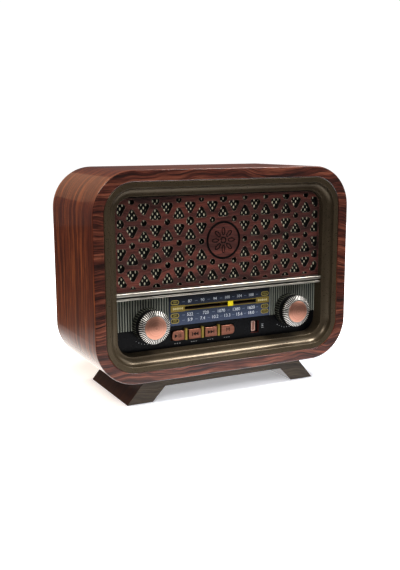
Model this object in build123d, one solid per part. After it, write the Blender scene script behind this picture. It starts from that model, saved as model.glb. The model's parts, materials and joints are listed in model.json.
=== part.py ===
from build123d import *
import os
from math import acos, atan2, cos, hypot, pi, radians, sin

# Tabletop radio with a bent-wood cabinet, a fretwork grille, a printed dial with a cord-driven pointer,
# two knobs, four push buttons, a low bracket stand and a folding telescopic antenna on the back.
#
# Everything is drawn in the cabinet's own frame, in millimetres: X to the right, Y backwards from the
# cabinet's front rim, Z up from the cabinet's mid-height. save() then moves it to the part's frame, whose
# origin is the centre of the bounding box in X and Y, on the surface that the feet stand on.

# Cabinet
WIDTH = 260.0
HEIGHT = 187.0
DEPTH = 111.0
CORNER = 38.5
WALL = 10.0
RIM_ROUND = 0.8
FIT_GAP = 0.2
RAIL = 8.0
RAIL_FRONT = 96.0
RAIL_REACH = (50.0, 40.0)
COVER_PILOT = 1.4
STAND_PILOT = 1.5
STAND_PILOT_DEPTH = 7.0

# Bezel: a hollow moulding, measured inwards from its outer edge and backwards from the rim
BEZEL_EDGE = WALL + FIT_GAP
WINDOW_INSET = 12.8
WINDOW_DRAFT = 1.0
LIP_DEPTH = 8.0
BEZEL_BACK = 21.0
BEZEL_SKIN = 2.2
BEZEL_FLAT = 5.0
COVE_RADIUS = 6.8
COVE_DEPTH = 0.8
INNER_WIDTH = WIDTH - 2 * (BEZEL_EDGE + WINDOW_INSET + WINDOW_DRAFT)
INNER_HEIGHT = HEIGHT - 2 * (BEZEL_EDGE + WINDOW_INSET + WINDOW_DRAFT)
INNER_CORNER = CORNER - BEZEL_EDGE - WINDOW_INSET - WINDOW_DRAFT

# Grille board
BOARD_FRONT = 12.0
BOARD_BACK = 16.5
BOARD_BOTTOM = -12.8
GRILLE_MARGIN = 2.0
GRILLE_CROP_CORNER = 9.0
CLOTH_THICK = 0.5
CLOTH_ROOM = 0.9
HOLE_COLUMN = 11.25
HOLE_PITCH = 12.85
HOLE_COLUMNS = 9
SMALL_HOLE = 2.8
LARGE_HOLE = 3.95
TRIANGLE_REACH = 8.2
TRIANGLE_ROUND = 2.2
MEDALLION_Z = 27.6
MEDALLION_CLEAR = 14.0
RING_OUTER = 17.6
RING_INNER = 15.6
ENGRAVING = 1.4
PETALS = 8
PETAL_PLACE = 8.2
PETAL_OUTER = (3.8, 1.9)
PETAL_INNER = (2.9, 1.0)
HEART_OUTER = 3.0
HEART_INNER = 2.0

# Fascia, its trim bars, ribbed inserts and dial
FASCIA_FRONT = 18.5
FASCIA_BACK = 21.0
FASCIA_TOP = -13.0
BARS = {"upper_trim_bar": (-16.5, -13.3, 8.5), "lower_trim_bar": (-20.2, -18.0, 9.5)}
BAR_ROUND = 0.9
RIB_PITCH = 2.55
RIB_WIDTH = 1.35
RIB_BASE = 18.1
RIB_FRONT = 17.3
RIB_ROUND = 0.5
RIB_TOP = -20.8
RIB_BOTTOM = -49.3
DIAL_HALF = 53.2
DIAL_FRONT = 16.5
DIAL_TOP = -22.3
DIAL_BOTTOM = -48.8
SLOT_Z = -33.1
SLOT_HALF = 37.8
SLOT_HEIGHT = 3.4
FRAME_FRONT = 16.1
END_BADGE = 14.2

# Pointer drive: a cord runs round a spool on the tuning shaft and two idler pulleys
POINTER_X = 9.4
POINTER_WIDTH = 5.5
POINTER_HEIGHT = 4.8
CORD_DEPTH = 27.0
CORD_RADIUS = 0.4
CORD_LEVEL = -24.7
SPOOL_PITCH = 6.3
IDLER_PITCH = 4.6
IDLER_X = 58.0
IDLER_Z = CORD_LEVEL - IDLER_PITCH
RAIL_Z = -28.5
POINTER_RAIL_DEPTH = 24.1
BRACKET_FRONT = 30.0
BRACKET_BACK = 31.2
RUNNING = 0.05

# Knobs
KNOB_X = 74.4
KNOB_Z = -44.5
KNOB_RADIUS = 15.4
KNOB_BACK = 16.8
KNOB_FACE = 3.2
KNOB_NOTCHES = 40
RING_NOTCHES = 48
RING_FRONT = -0.6
RING_BEVEL = (11.25, 15.0)
RING_EDGE = 1.5
TOOTH_PLACE = (13.2, 0.235)
TOOTH_SLOPE = 33.0
TOOTH_SIZE = 1.1
NOTCH_SIZE = 1.3
CAP_EDGE = -1.0
HUB_RADIUS = 12.5
HUB_DEPTH = 4.0
CAP_RADIUS = 10.3
CAP_FRONT = -2.6
SHAFT_RADIUS = 3.0
SHAFT_FRONT = 4.6

# Push buttons, from the left: play, previous, next, mode
BUTTON_NAMES = ["play_button", "previous_button", "next_button", "mode_button"]
BUTTON_PITCH = 17.0
BUTTON_LEFT = -50.8
BUTTON_WIDTH = 12.6
LAST_WIDTH = 14.1
BUTTON_Z = -58.4
BUTTON_HEIGHT = 9.1
BUTTON_FRONT = 16.2
BUTTON_GAP = 0.35
BUTTON_END_ROUND = 3.4
BUTTON_FLANGE = 1.5
KEY_FRONT = 21.3
KEY_BACK = 22.3
KEY_STEM = 22.9
DIVIDER_WIDTH = 2.2
DIVIDER_FRONT = 15.6
DIVIDER_RISE = 1.5

# Charging port, standing upright in its own recess
PORT_X = 37.9
PORT_Z = -59.2
PORT_RECESS = (9.5, 12.2)
PORT_FRONT = 21.6
BOARD_DEPTH = 29.0
BOARD_THICK = 1.6

# Stand: one bent bracket with two splayed feet
FOOT_DROP = 21.8
STAND_INSET = 9.0
PLATE_THICK = 8.1
FOOT_OUTER = 98.7
FOOT_INNER = 74.0
STAND_TOP = 80.8
STAND_NECK = 61.5
PAD_PROUD = 0.5
PAD_THICK = 1.2
STAND_SCREW_X = 40.0
STAND_SCREW_INSET = 28.0

# Loudspeaker
SPEAKER_Z = 28.0
SPEAKER_FLANGE = 43.0
SPEAKER_SCREW = 39.8
SPEAKER_SHANK = 1.25
SPEAKER_HEAD = 2.6
SPEAKER_SCREW_BITE = 3.0
FLANGE_BACK = 26.5
BAFFLE_BACK = 25.0
BAFFLE_HOLE = 35.0
DIAL_WINDOW = (184.0, 48.0)
DIAL_WINDOW_Z = -43.0
BASKET_SLOT = 11.0
MAGNET_RADIUS = 27.5
MAGNET_FRONT = 48.0
MAGNET_BACK = 60.0
POLE_FRONT = 46.0
POLE_BACK = 63.0

# Back of the set
COVER_FRONT = 106.0
COVER_BACK = 109.0
CELL_X = -58.0
CELL_Z = -57.0
CELL_DEPTH = 95.0
CELL_RADIUS = 9.2
CELL_LENGTH = 65.0
DOOR_SIZE = (75.4, 20.4)
DOOR_GAP = 0.3
DOOR_THICK = 2.2
DOOR_HINGE = 1.2
DOOR_PIN = 0.8
VENT_PITCH = 7.0
VENT_SIZE = (3.0, 40.0)
VENT_Z = 22.0
MAIN_BOARD_DEPTH = 90.0
JACK_X = 40.0
SWITCH_X = 66.0
SOCKET_Z = -60.0
JACK_BORE = 1.8
ROD_DEPTH = 80.0
ROD_Z = 73.0
ROD_RADIUS = 4.5
ROD_HALF = 66.0
COIL_RADIUS = 6.4
COIL_HALF = 20.0
ARM_X = 48.0

# Telescopic antenna, folded along the back
MAST_X = 100.0
MAST_Z = 62.0
MAST_DEPTH = 115.3
MAST_END = -46.0
FORK_BACK = 118.6
FORK_GAP = 2.3
FORK_CHEEK = 4.2
HINGE_PIN = 1.2
LOWER_TUBE = (3.0, 2.55)
MIDDLE_TUBE = (2.5, 2.05)
TIP_RADIUS = 2.0
TIP_CAP = (2.9, 6.0)

CENTRE_HEIGHT = HEIGHT / 2 + FOOT_DROP
MIDDLE_DEPTH = (CAP_FRONT + FORK_BACK) / 2


def slab(outline, front, back):
    """Give an X-Z outline thickness, from one depth to another."""
    plane = Plane(origin=(0, back, 0), x_dir=(1, 0, 0), z_dir=(0, -1, 0))
    return extrude(plane * outline, amount=back - front)


def rod(x, z, radius, front, back):
    """Make a cylinder along Y."""
    return slab(Pos(x, z) * Circle(radius), front, back)


def block(x, y, z):
    """Make a box from its (low, high) pair along each axis."""
    centre = Pos((x[0] + x[1]) / 2, (y[0] + y[1]) / 2, (z[0] + z[1]) / 2)
    return centre * Box(x[1] - x[0], y[1] - y[0], z[1] - z[0])


def turned(points, x, z):
    """Turn a closed (radius, depth) outline about an axis along Y."""
    face = make_face(Polyline(*points, close=True))
    return Pos(x, 0, z) * revolve(face, axis=Axis.Y)


def along_x(radius, x, y, z):
    """Make a cylinder along X from its (low, high) pair."""
    return Pos((x[0] + x[1]) / 2, y, z) * Rot(0, 90, 0) * Cylinder(radius, x[1] - x[0])


def along_z(radius, x, y, z):
    """Make a cylinder along Z from its (low, high) pair."""
    return Pos(x, y, (z[0] + z[1]) / 2) * Cylinder(radius, z[1] - z[0])


def rounded(width, height, radius):
    return RectangleRounded(width, height, radius)


def ring_loop(width, height, radius, depth):
    """Make a closed rounded rectangle that starts at the middle of its right side."""
    w = width / 2
    h = height / 2
    turn = radius * (1 - cos(radians(45)))
    corners = []
    for sx, sz in [(1, 1), (-1, 1), (-1, -1), (1, -1)]:
        side = (sx * w, depth, sz * (h - radius))
        middle = (sx * (w - turn), depth, sz * (h - turn))
        top = (sx * (w - radius), depth, sz * h)
        corners.append((side, middle, top) if sx == sz else (top, middle, side))
    start = (w, depth, 0)
    edges = []
    last = start
    for first, middle, end in corners:
        edges.append(Line(last, first))
        edges.append(ThreePointArc(first, middle, end))
        last = end
    edges.append(Line(last, start))
    return Wire([edge.edge() for edge in edges])


def cabinet_shell():
    shell = slab(rounded(WIDTH, HEIGHT, CORNER), 0, DEPTH)
    shell -= slab(rounded(WIDTH - 2 * WALL, HEIGHT - 2 * WALL, CORNER - WALL), 0, DEPTH)
    shell = fillet(shell.faces().sort_by(Axis.Y)[0].edges(), RIM_ROUND)
    side = WIDTH / 2 - WALL
    top = HEIGHT / 2 - WALL
    tall, wide = RAIL_REACH
    for sign in (-1, 1):
        x = sorted((sign * side, sign * (side - RAIL)))
        z = sorted((sign * top, sign * (top - RAIL)))
        shell += block(x, (RAIL_FRONT, COVER_FRONT), (-tall, tall))
        shell += block((-wide, wide), (RAIL_FRONT, COVER_FRONT), z)
    pilot = (-HEIGHT / 2, -HEIGHT / 2 + STAND_PILOT_DEPTH)
    shell -= [rod(x, z, COVER_PILOT, RAIL_FRONT, COVER_FRONT) for x, z in cover_screw_places()]
    shell -= [along_z(STAND_PILOT, x, y, pilot) for x, y in stand_screw_places()]
    return shell


def front_bezel():
    edge = WIDTH / 2 - BEZEL_EDGE
    cove_x = BEZEL_FLAT + COVE_RADIUS
    cove_foot_y = COVE_DEPTH + COVE_RADIUS
    diagonal = COVE_RADIUS * cos(radians(45))
    inset = WINDOW_INSET + WINDOW_DRAFT
    inner = inset - BEZEL_SKIN

    def at(u, y):
        return (edge - u, y)

    cove_top = at(BEZEL_FLAT, COVE_DEPTH + 0.6)
    cove_middle = at(cove_x - diagonal, COVE_DEPTH + diagonal)
    cove_foot = at(cove_x, cove_foot_y)
    lip = at(WINDOW_INSET - 0.4, cove_foot_y)
    lines = [
        Line(at(0, BEZEL_BACK), at(0, 1.0)),
        ThreePointArc(at(0, 1.0), at(0.25, 0.5), at(0.8, 0.4)),
        Line(at(0.8, 0.4), at(4.4, 0.8)),
        ThreePointArc(at(4.4, 0.8), at(4.8, 0.95), cove_top),
        ThreePointArc(cove_top, cove_middle, cove_foot),
        Line(cove_foot, lip),
        ThreePointArc(lip, at(WINDOW_INSET - 0.1, 7.72), at(WINDOW_INSET, LIP_DEPTH)),
        Line(at(WINDOW_INSET, LIP_DEPTH), at(inset, FASCIA_FRONT)),
        Line(at(inset, FASCIA_FRONT), at(inset, BEZEL_BACK)),
        Line(at(inset, BEZEL_BACK), at(inner, BEZEL_BACK)),
        Line(at(inner, BEZEL_BACK), at(inner, LIP_DEPTH + 2)),
        Line(at(inner, LIP_DEPTH + 2), at(BEZEL_FLAT + 1.5, LIP_DEPTH)),
        Line(at(BEZEL_FLAT + 1.5, LIP_DEPTH), at(BEZEL_SKIN, 3.0)),
        Line(at(BEZEL_SKIN, 3.0), at(BEZEL_SKIN, BEZEL_BACK)),
        Line(at(BEZEL_SKIN, BEZEL_BACK), at(0, BEZEL_BACK)),
    ]
    profile = make_face(lines)
    path = ring_loop(2 * edge, HEIGHT - 2 * BEZEL_EDGE, CORNER - BEZEL_EDGE, 0)
    return sweep(profile, path=path)


def hole_shape(kind, large):
    if kind == 0:
        return Circle(LARGE_HOLE if large else SMALL_HOLE)
    pointing = 30 if kind == 1 else 90
    corner = RegularPolygon(TRIANGLE_REACH, 3, rotation=0)
    triangle = fillet(corner.vertices(), TRIANGLE_ROUND)
    return Rot(0, 0, pointing) * triangle


def grille_holes():
    """Circles and rounded triangles on a hexagonal lattice, cropped near the board's edges."""
    top = INNER_HEIGHT / 2 - GRILLE_MARGIN
    bottom = BOARD_BOTTOM + GRILLE_MARGIN
    width = INNER_WIDTH - 2 * GRILLE_MARGIN
    crop = Pos(0, (top + bottom) / 2) * rounded(width, top - bottom, GRILLE_CROP_CORNER)
    holes = []
    for column in range(-HOLE_COLUMNS, HOLE_COLUMNS + 1):
        shift = 0.5 * (column % 2)
        for row in range(-4, 4):
            x = column * HOLE_COLUMN
            z = (row + shift) * HOLE_PITCH
            if hypot(x, z) < MEDALLION_CLEAR:
                continue
            kind = (row - column % 2) % 3
            hole = Pos(x, MEDALLION_Z + z) * hole_shape(kind, column % 3 == 0)
            holes += (hole & crop).faces()
    return [hole for hole in holes if hole.area > 2]


def medallion():
    ring = Circle(RING_OUTER) - Circle(RING_INNER)
    rosette = Circle(HEART_OUTER) - Circle(HEART_INNER)
    for petal in range(PETALS):
        outline = Ellipse(*PETAL_OUTER) - Ellipse(*PETAL_INNER)
        rosette += Rot(0, 0, 360 / PETALS * petal) * Pos(PETAL_PLACE, 0) * outline
    return Pos(0, MEDALLION_Z) * (ring + rosette)


def grille_board():
    whole = rounded(INNER_WIDTH - 0.4, INNER_HEIGHT - 0.4, INNER_CORNER)
    top = INNER_HEIGHT / 2
    upper = Pos(0, (top + BOARD_BOTTOM) / 2) * Rectangle(INNER_WIDTH, top - BOARD_BOTTOM)
    outline = (whole & upper) - Sketch(grille_holes())
    board = slab(outline, BOARD_FRONT, BOARD_BACK)
    return board - slab(medallion(), BOARD_FRONT - 1, BOARD_FRONT + ENGRAVING)


def grille_cloth():
    top = INNER_HEIGHT / 2 - 0.5
    bottom = BOARD_BOTTOM + 0.5
    cloth = Pos(0, (top + bottom) / 2) * rounded(INNER_WIDTH - 1, top - bottom, 3)
    whole = rounded(INNER_WIDTH - 1, INNER_HEIGHT - 1, INNER_CORNER - 0.5)
    front = BOARD_BACK + FIT_GAP
    return slab(cloth & whole, front, front + CLOTH_THICK)


def front_baffle():
    plate = rounded(WIDTH - 2 * WALL - 0.6, HEIGHT - 2 * WALL - 0.6, CORNER - WALL - 0.3)
    baffle = slab(plate, BEZEL_BACK, BAFFLE_BACK)
    top = INNER_HEIGHT / 2 - 0.6
    bottom = BOARD_BOTTOM + 0.6
    pad = Pos(0, (top + bottom) / 2) * rounded(INNER_WIDTH - 1.2, top - bottom, 3)
    pad &= rounded(INNER_WIDTH - 1.2, INNER_HEIGHT - 1.2, INNER_CORNER - 0.6)
    baffle += slab(pad, BOARD_BACK + CLOTH_ROOM, BEZEL_BACK)
    baffle -= rod(0, SPEAKER_Z, BAFFLE_HOLE, 0, BAFFLE_BACK)
    baffle -= slab(Pos(0, DIAL_WINDOW_Z) * rounded(*DIAL_WINDOW, 5), 0, BAFFLE_BACK)
    front = BAFFLE_BACK - SPEAKER_SCREW_BITE
    screws = [rod(x, z, SPEAKER_SHANK, front, BAFFLE_BACK) for x, z in speaker_screw_places()]
    return baffle - screws


def trim_bar(name):
    low, high, front = BARS[name]
    back = FASCIA_FRONT - 0.1
    wide = WIDTH / 2 - BEZEL_EDGE - WINDOW_INSET - 0.2
    narrow = INNER_WIDTH / 2 - 0.1
    plan = make_face(Polyline((-wide, front), (wide, front), (narrow, back), (-narrow, back), close=True))
    bar = Pos(0, 0, low) * extrude(plan, amount=high - low)
    front_edges = bar.faces().sort_by(Axis.Y)[0].edges().filter_by(Axis.X)
    return fillet(front_edges, BAR_ROUND)


def button_span(index):
    left = BUTTON_LEFT + index * BUTTON_PITCH
    width = LAST_WIDTH if index == 3 else BUTTON_WIDTH
    return left, left + width


def rectangle(x, z):
    """Make an X-Z rectangle from its (low, high) pairs."""
    return Pos((x[0] + x[1]) / 2, (z[0] + z[1]) / 2) * Rectangle(x[1] - x[0], z[1] - z[0])


def button_openings():
    openings = []
    low = BUTTON_Z - BUTTON_HEIGHT / 2 - BUTTON_GAP
    high = BUTTON_Z + BUTTON_HEIGHT / 2 + BUTTON_GAP
    for index in range(len(BUTTON_NAMES)):
        left, right = button_span(index)
        openings.append(rectangle((left - BUTTON_GAP, right + BUTTON_GAP), (low, high)))
        if index < 3:
            rib = (right + BUTTON_GAP - 0.1, right + BUTTON_GAP + DIVIDER_WIDTH + 0.1)
            openings.append(rectangle(rib, (low, high + DIVIDER_RISE - 0.1)))
    return openings


def fascia_posts():
    """Places of the posts behind the fascia: four for the dial bracket, four for the control board."""
    bracket = [(-63, -23), (-60, -46), (68, -22.5), (49, -42)]
    control = [(-56, -54), (-56, -63), (24, -54), (24, -63)]
    return bracket, control


def fascia_panel():
    whole = rounded(INNER_WIDTH - 0.4, INNER_HEIGHT - 0.4, INNER_CORNER)
    lower = rectangle((-INNER_WIDTH, INNER_WIDTH), (-INNER_HEIGHT / 2, FASCIA_TOP))
    panel = slab(whole & lower, FASCIA_FRONT, FASCIA_BACK)
    slit = POINTER_WIDTH / 2 + SLOT_HALF
    cuts = [rectangle((-slit, slit), (SLOT_Z - 1.0, SLOT_Z + 1.0))] + button_openings()
    panel -= [slab(cut, 0, FASCIA_BACK) for cut in cuts]
    panel -= rod(-KNOB_X, KNOB_Z, 3.5, 0, FASCIA_BACK)
    panel -= rod(KNOB_X, KNOB_Z, SHAFT_RADIUS + RUNNING, 0, FASCIA_BACK)
    width, height = PORT_RECESS
    cup = Pos(PORT_X, PORT_Z) * rounded(width + 2.4, height + 2.4, 1.8)
    panel += slab(cup, FASCIA_BACK, PORT_FRONT + 2.0)
    panel -= slab(Pos(PORT_X, PORT_Z) * rounded(width, height, 1.0), 0, PORT_FRONT + 0.8)
    panel -= slab(Pos(PORT_X, PORT_Z) * rounded(3.6, 9.3, 1.5), 0, PORT_FRONT + 4)
    bracket, control = fascia_posts()
    panel += [rod(x, z, 2.5, FASCIA_BACK, BRACKET_FRONT) for x, z in bracket]
    panel += [rod(x, z, 2.0, FASCIA_BACK, BOARD_DEPTH) for x, z in control]
    return panel


def ribbed_insert(side):
    inner = DIAL_HALF + 0.3
    outer = INNER_WIDTH / 2 - 0.3
    insert = block((inner, outer), (RIB_BASE, FASCIA_FRONT), (RIB_BOTTOM, RIB_TOP))
    count = int((outer - inner) / RIB_PITCH)
    for index in range(count + 1):
        x = inner + RIB_WIDTH / 2 + index * RIB_PITCH
        rib = block((x - RIB_WIDTH / 2, x + RIB_WIDTH / 2), (RIB_FRONT, RIB_BASE), (RIB_BOTTOM, RIB_TOP))
        insert += fillet(rib.faces().sort_by(Axis.Y)[0].edges().filter_by(Axis.Z), RIB_ROUND)
    insert -= rod(KNOB_X, KNOB_Z, 7, 0, FASCIA_FRONT)
    return insert if side > 0 else mirror(insert, about=Plane.YZ)


def dial_plate():
    plate = slab(rectangle((-DIAL_HALF, DIAL_HALF), (DIAL_BOTTOM, DIAL_TOP)), DIAL_FRONT, FASCIA_FRONT)
    half = SLOT_HEIGHT / 2
    plate -= slab(rectangle((-SLOT_HALF, SLOT_HALF), (SLOT_Z - half, SLOT_Z + half)), 0, FASCIA_FRONT)
    return plate


def pointer_slot_frame():
    half = SLOT_HEIGHT / 2
    end = SLOT_HALF + END_BADGE
    frame = rectangle((-end, end), (SLOT_Z - half - 0.8, SLOT_Z + half + 0.8))
    for sign in (-1, 1):
        badge = sorted((sign * SLOT_HALF, sign * end))
        frame += rectangle(badge, (SLOT_Z - 3.0, SLOT_Z + 3.0))
    frame -= rectangle((-SLOT_HALF, SLOT_HALF), (SLOT_Z - half, SLOT_Z + half))
    return slab(frame, FRAME_FRONT, DIAL_FRONT)


def dial_pointer():
    flag = block(
        (-POINTER_WIDTH / 2, POINTER_WIDTH / 2),
        (15.1, 15.8),
        (SLOT_Z - POINTER_HEIGHT / 2, SLOT_Z + POINTER_HEIGHT / 2),
    )
    stem = block((-1, 1), (15.8, 22.6), (SLOT_Z - 0.7, SLOT_Z + 0.7))
    carriage = block((-7, 7), (22.6, 25.6), (-35.5, -26))
    clip = block((-4, 4), (25.6, 28.5), (-28, -23))
    rail = along_x(1.0 + RUNNING, (-20, 20), POINTER_RAIL_DEPTH, RAIL_Z)
    cord = along_x(CORD_RADIUS + 0.35, (-20, 20), CORD_DEPTH, CORD_LEVEL)
    return Pos(POINTER_X, 0, 0) * (flag + stem + carriage + clip - rail - cord)


def pointer_rail():
    return along_x(1.0, (-51.8, 51.8), POINTER_RAIL_DEPTH, RAIL_Z)


def dial_bracket():
    plate = rectangle((-66, 62), (-49, -19.5)) + rectangle((60, 84), (-54, -19.5))
    bracket = slab(plate, BRACKET_FRONT, BRACKET_BACK)
    bracket -= rod(KNOB_X, KNOB_Z, SHAFT_RADIUS + 0.4, 0, BRACKET_BACK)
    for sign in (-1, 1):
        ear = sorted((sign * 49.5, sign * 51.5))
        bracket += block(ear, (22.3, BRACKET_FRONT), (RAIL_Z - 2.2, RAIL_Z + 2.2))
        bracket += rod(sign * IDLER_X, IDLER_Z, 1.0, 24.6, BRACKET_FRONT)
        bracket += rod(sign * IDLER_X, IDLER_Z, 2.0, 24.0, 24.7)
        bracket += rod(sign * IDLER_X, IDLER_Z, 2.2, 29.3, BRACKET_FRONT)
    return bracket - along_x(1.0, (-52, 52), POINTER_RAIL_DEPTH, RAIL_Z)


def idler_pulley(x):
    floor = IDLER_PITCH - CORD_RADIUS - 0.2
    rim = IDLER_PITCH + 0.9
    bore = 1.0 + RUNNING
    outline = [
        (bore, 25), (rim, 25), (rim, 25.6), (floor, 26.3),
        (floor, 27.7), (rim, 28.4), (rim, 29), (bore, 29),
    ]
    return turned(outline, x, IDLER_Z)


def tuning_shaft():
    floor = SPOOL_PITCH - CORD_RADIUS - 0.2
    rim = SPOOL_PITCH + 1.4
    outline = [
        (0, SHAFT_FRONT), (SHAFT_RADIUS, SHAFT_FRONT), (SHAFT_RADIUS, 24.4), (rim, 24.4), (rim, 25.4),
        (floor, 26.2),
        (floor, 27.8), (rim, 28.6), (rim, 29.6), (SHAFT_RADIUS, 29.6), (SHAFT_RADIUS, 37.0), (0, 37.0),
    ]
    return turned(outline, KNOB_X, KNOB_Z)


def tuning_encoder():
    body = block((KNOB_X - 6.5, KNOB_X + 6.5), (BRACKET_BACK, 38.5), (KNOB_Z - 6.5, KNOB_Z + 6.5))
    return body - rod(KNOB_X, KNOB_Z, SHAFT_RADIUS + RUNNING, 0, 37.5)


def volume_shaft():
    return rod(-KNOB_X, KNOB_Z, SHAFT_RADIUS, SHAFT_FRONT, 29.0)


def volume_pot():
    can = rod(-KNOB_X, KNOB_Z, 8, FASCIA_BACK, 31.5)
    bush = rod(-KNOB_X, KNOB_Z, 3.5, 15.0, FASCIA_BACK)
    tag = block((-KNOB_X - 5, -KNOB_X + 5), (26, 28), (KNOB_Z - 13, KNOB_Z - 6))
    return can + bush + tag - rod(-KNOB_X, KNOB_Z, SHAFT_RADIUS + RUNNING, 0, 29.5)


def external_tangent(first, second):
    """Find the tangent points of the straight cord between two wheels that turn the same way."""
    x1, z1, r1 = first
    x2, z2, r2 = second
    span = hypot(x2 - x1, z2 - z1)
    heading = atan2(z2 - z1, x2 - x1)
    angle = heading + acos((r1 - r2) / span)
    start = (x1 + r1 * cos(angle), CORD_DEPTH, z1 + r1 * sin(angle))
    end = (x2 + r2 * cos(angle), CORD_DEPTH, z2 + r2 * sin(angle))
    return start, end, angle


def dial_cord():
    wheels = [
        (-IDLER_X, IDLER_Z, IDLER_PITCH),
        (IDLER_X, IDLER_Z, IDLER_PITCH),
        (KNOB_X, KNOB_Z, SPOOL_PITCH),
    ]
    runs = [external_tangent(wheels[i], wheels[(i + 1) % 3]) for i in range(3)]
    edges = []
    for index, (start, end, angle) in enumerate(runs):
        x, z, radius = wheels[(index + 1) % 3]
        following, _, next_angle = runs[(index + 1) % 3]
        while next_angle > angle:
            next_angle -= 2 * pi
        middle = (angle + next_angle) / 2
        crest = (x + radius * cos(middle), CORD_DEPTH, z + radius * sin(middle))
        edges.append(Line(start, end).edge())
        edges.append(ThreePointArc(end, crest, following).edge())
    path = Wire(edges)
    section = Plane(origin=path @ 0, z_dir=path % 0) * Circle(CORD_RADIUS)
    return sweep(section, path=path)


def knob_parts(x):
    """Make a knob's grooved body, its toothed bevel ring and its domed cap."""
    outline = [
        (SHAFT_RADIUS, KNOB_BACK - HUB_DEPTH), (HUB_RADIUS, KNOB_BACK - HUB_DEPTH),
        (HUB_RADIUS, KNOB_BACK), (KNOB_RADIUS, KNOB_BACK), (KNOB_RADIUS, 9.6), (14.5, 8.6), (14.5, 4.4),
        (15.1, KNOB_FACE), (0, KNOB_FACE), (0, SHAFT_FRONT), (SHAFT_RADIUS, SHAFT_FRONT),
    ]
    body = turned(outline, 0, 0)
    notch = Pos(KNOB_RADIUS + 0.3, 0) * Rot(0, 0, 45) * Rectangle(NOTCH_SIZE, NOTCH_SIZE)
    groove = slab(notch, 9.9, KNOB_BACK)
    body -= [Rot(0, 360 / KNOB_NOTCHES * index, 0) * groove for index in range(KNOB_NOTCHES)]
    inner = CAP_RADIUS + 0.05
    crest, outer = RING_BEVEL
    bevel = [
        (inner, KNOB_FACE), (inner, RING_FRONT), (crest, RING_FRONT), (outer, RING_EDGE), (outer, KNOB_FACE),
    ]
    ring = turned(bevel, 0, 0)
    tooth = Pos(*TOOTH_PLACE, 0) * Rot(0, 0, TOOTH_SLOPE) * Rot(45, 0, 0) * Box(8, TOOTH_SIZE, TOOTH_SIZE)
    ring -= [Rot(0, 360 / RING_NOTCHES * index, 0) * tooth for index in range(RING_NOTCHES)]
    rise = CAP_EDGE - CAP_FRONT
    dome = (CAP_RADIUS ** 2 + rise ** 2) / (2 * rise)
    shoulder = CAP_RADIUS / 2
    mid = (shoulder, CAP_FRONT + dome - (dome ** 2 - shoulder ** 2) ** 0.5)
    cap = make_face([
        Line((0, KNOB_FACE), (CAP_RADIUS, KNOB_FACE)),
        Line((CAP_RADIUS, KNOB_FACE), (CAP_RADIUS, CAP_EDGE)),
        ThreePointArc((CAP_RADIUS, CAP_EDGE), mid, (0, CAP_FRONT)),
        Line((0, CAP_FRONT), (0, KNOB_FACE)),
    ])
    place = Pos(x, 0, KNOB_Z)
    return place * body, place * ring, place * revolve(cap, axis=Axis.Y)


def push_button(index):
    left, right = button_span(index)
    x = (left + right) / 2
    face = rectangle((left, right), (BUTTON_Z - BUTTON_HEIGHT / 2, BUTTON_Z + BUTTON_HEIGHT / 2))
    cap = slab(face, BUTTON_FRONT, KEY_BACK)
    outer = cap.edges().filter_by(Axis.Y).sort_by(Axis.X)
    if index == 0:
        cap = fillet(outer[:2], BUTTON_END_ROUND)
    if index == 3:
        cap = fillet(outer[2:], BUTTON_END_ROUND)
    cap = fillet(cap.faces().sort_by(Axis.Y)[0].edges(), 0.5)
    flange = BUTTON_HEIGHT / 2 + BUTTON_FLANGE
    cap += slab(rectangle((left + 1, right - 1), (BUTTON_Z - flange, BUTTON_Z + flange)), KEY_FRONT, KEY_BACK)
    return cap + rod(x, BUTTON_Z, 1.5, KEY_BACK, KEY_STEM)


def button_comb():
    low = BUTTON_Z - BUTTON_HEIGHT / 2
    high = BUTTON_Z + BUTTON_HEIGHT / 2
    first = button_span(0)[1] + BUTTON_GAP
    last = button_span(2)[1] + BUTTON_GAP + DIVIDER_WIDTH
    comb = block((first, last), (KEY_FRONT, 23.0), (high + 2.3, high + 4.3))
    for index in range(3):
        x = button_span(index)[1] + BUTTON_GAP
        comb += block((x, x + DIVIDER_WIDTH), (DIVIDER_FRONT, KEY_FRONT), (low, high + DIVIDER_RISE))
        comb += block((x, x + DIVIDER_WIDTH), (KEY_FRONT, 23.0), (low, high + 2.3))
    return comb


def control_board():
    board = block((-59, 46), (BOARD_DEPTH, BOARD_DEPTH + BOARD_THICK), (-69, -51))
    return board + block((-40, -28), (BOARD_DEPTH + BOARD_THICK, 33), (-66, -58))


def tact_switches():
    switches = []
    for index in range(len(BUTTON_NAMES)):
        x = sum(button_span(index)) / 2
        body = block((x - 3, x + 3), (25.5, BOARD_DEPTH), (BUTTON_Z - 3, BUTTON_Z + 3))
        switches.append(body + rod(x, BUTTON_Z, 1.6, 23.6, 25.5))
    return Compound(children=[switch.solid() for switch in switches])


def usb_port():
    shell = slab(rounded(4.4, 10.0, 1.2), PORT_FRONT, PORT_FRONT + 0.8)
    shell += slab(rounded(3.3, 9.0, 1.4), PORT_FRONT, BOARD_DEPTH)
    shell -= slab(rounded(2.7, 8.4, 1.2), PORT_FRONT, BOARD_DEPTH - 1)
    shell += slab(Rectangle(0.7, 6.7), PORT_FRONT + 1.4, BOARD_DEPTH - 1)
    return Pos(PORT_X, 0, PORT_Z) * shell


def stand_screw_places():
    depths = (STAND_SCREW_INSET, DEPTH - STAND_SCREW_INSET)
    return [(x, y) for x in (-STAND_SCREW_X, STAND_SCREW_X) for y in depths]


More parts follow.
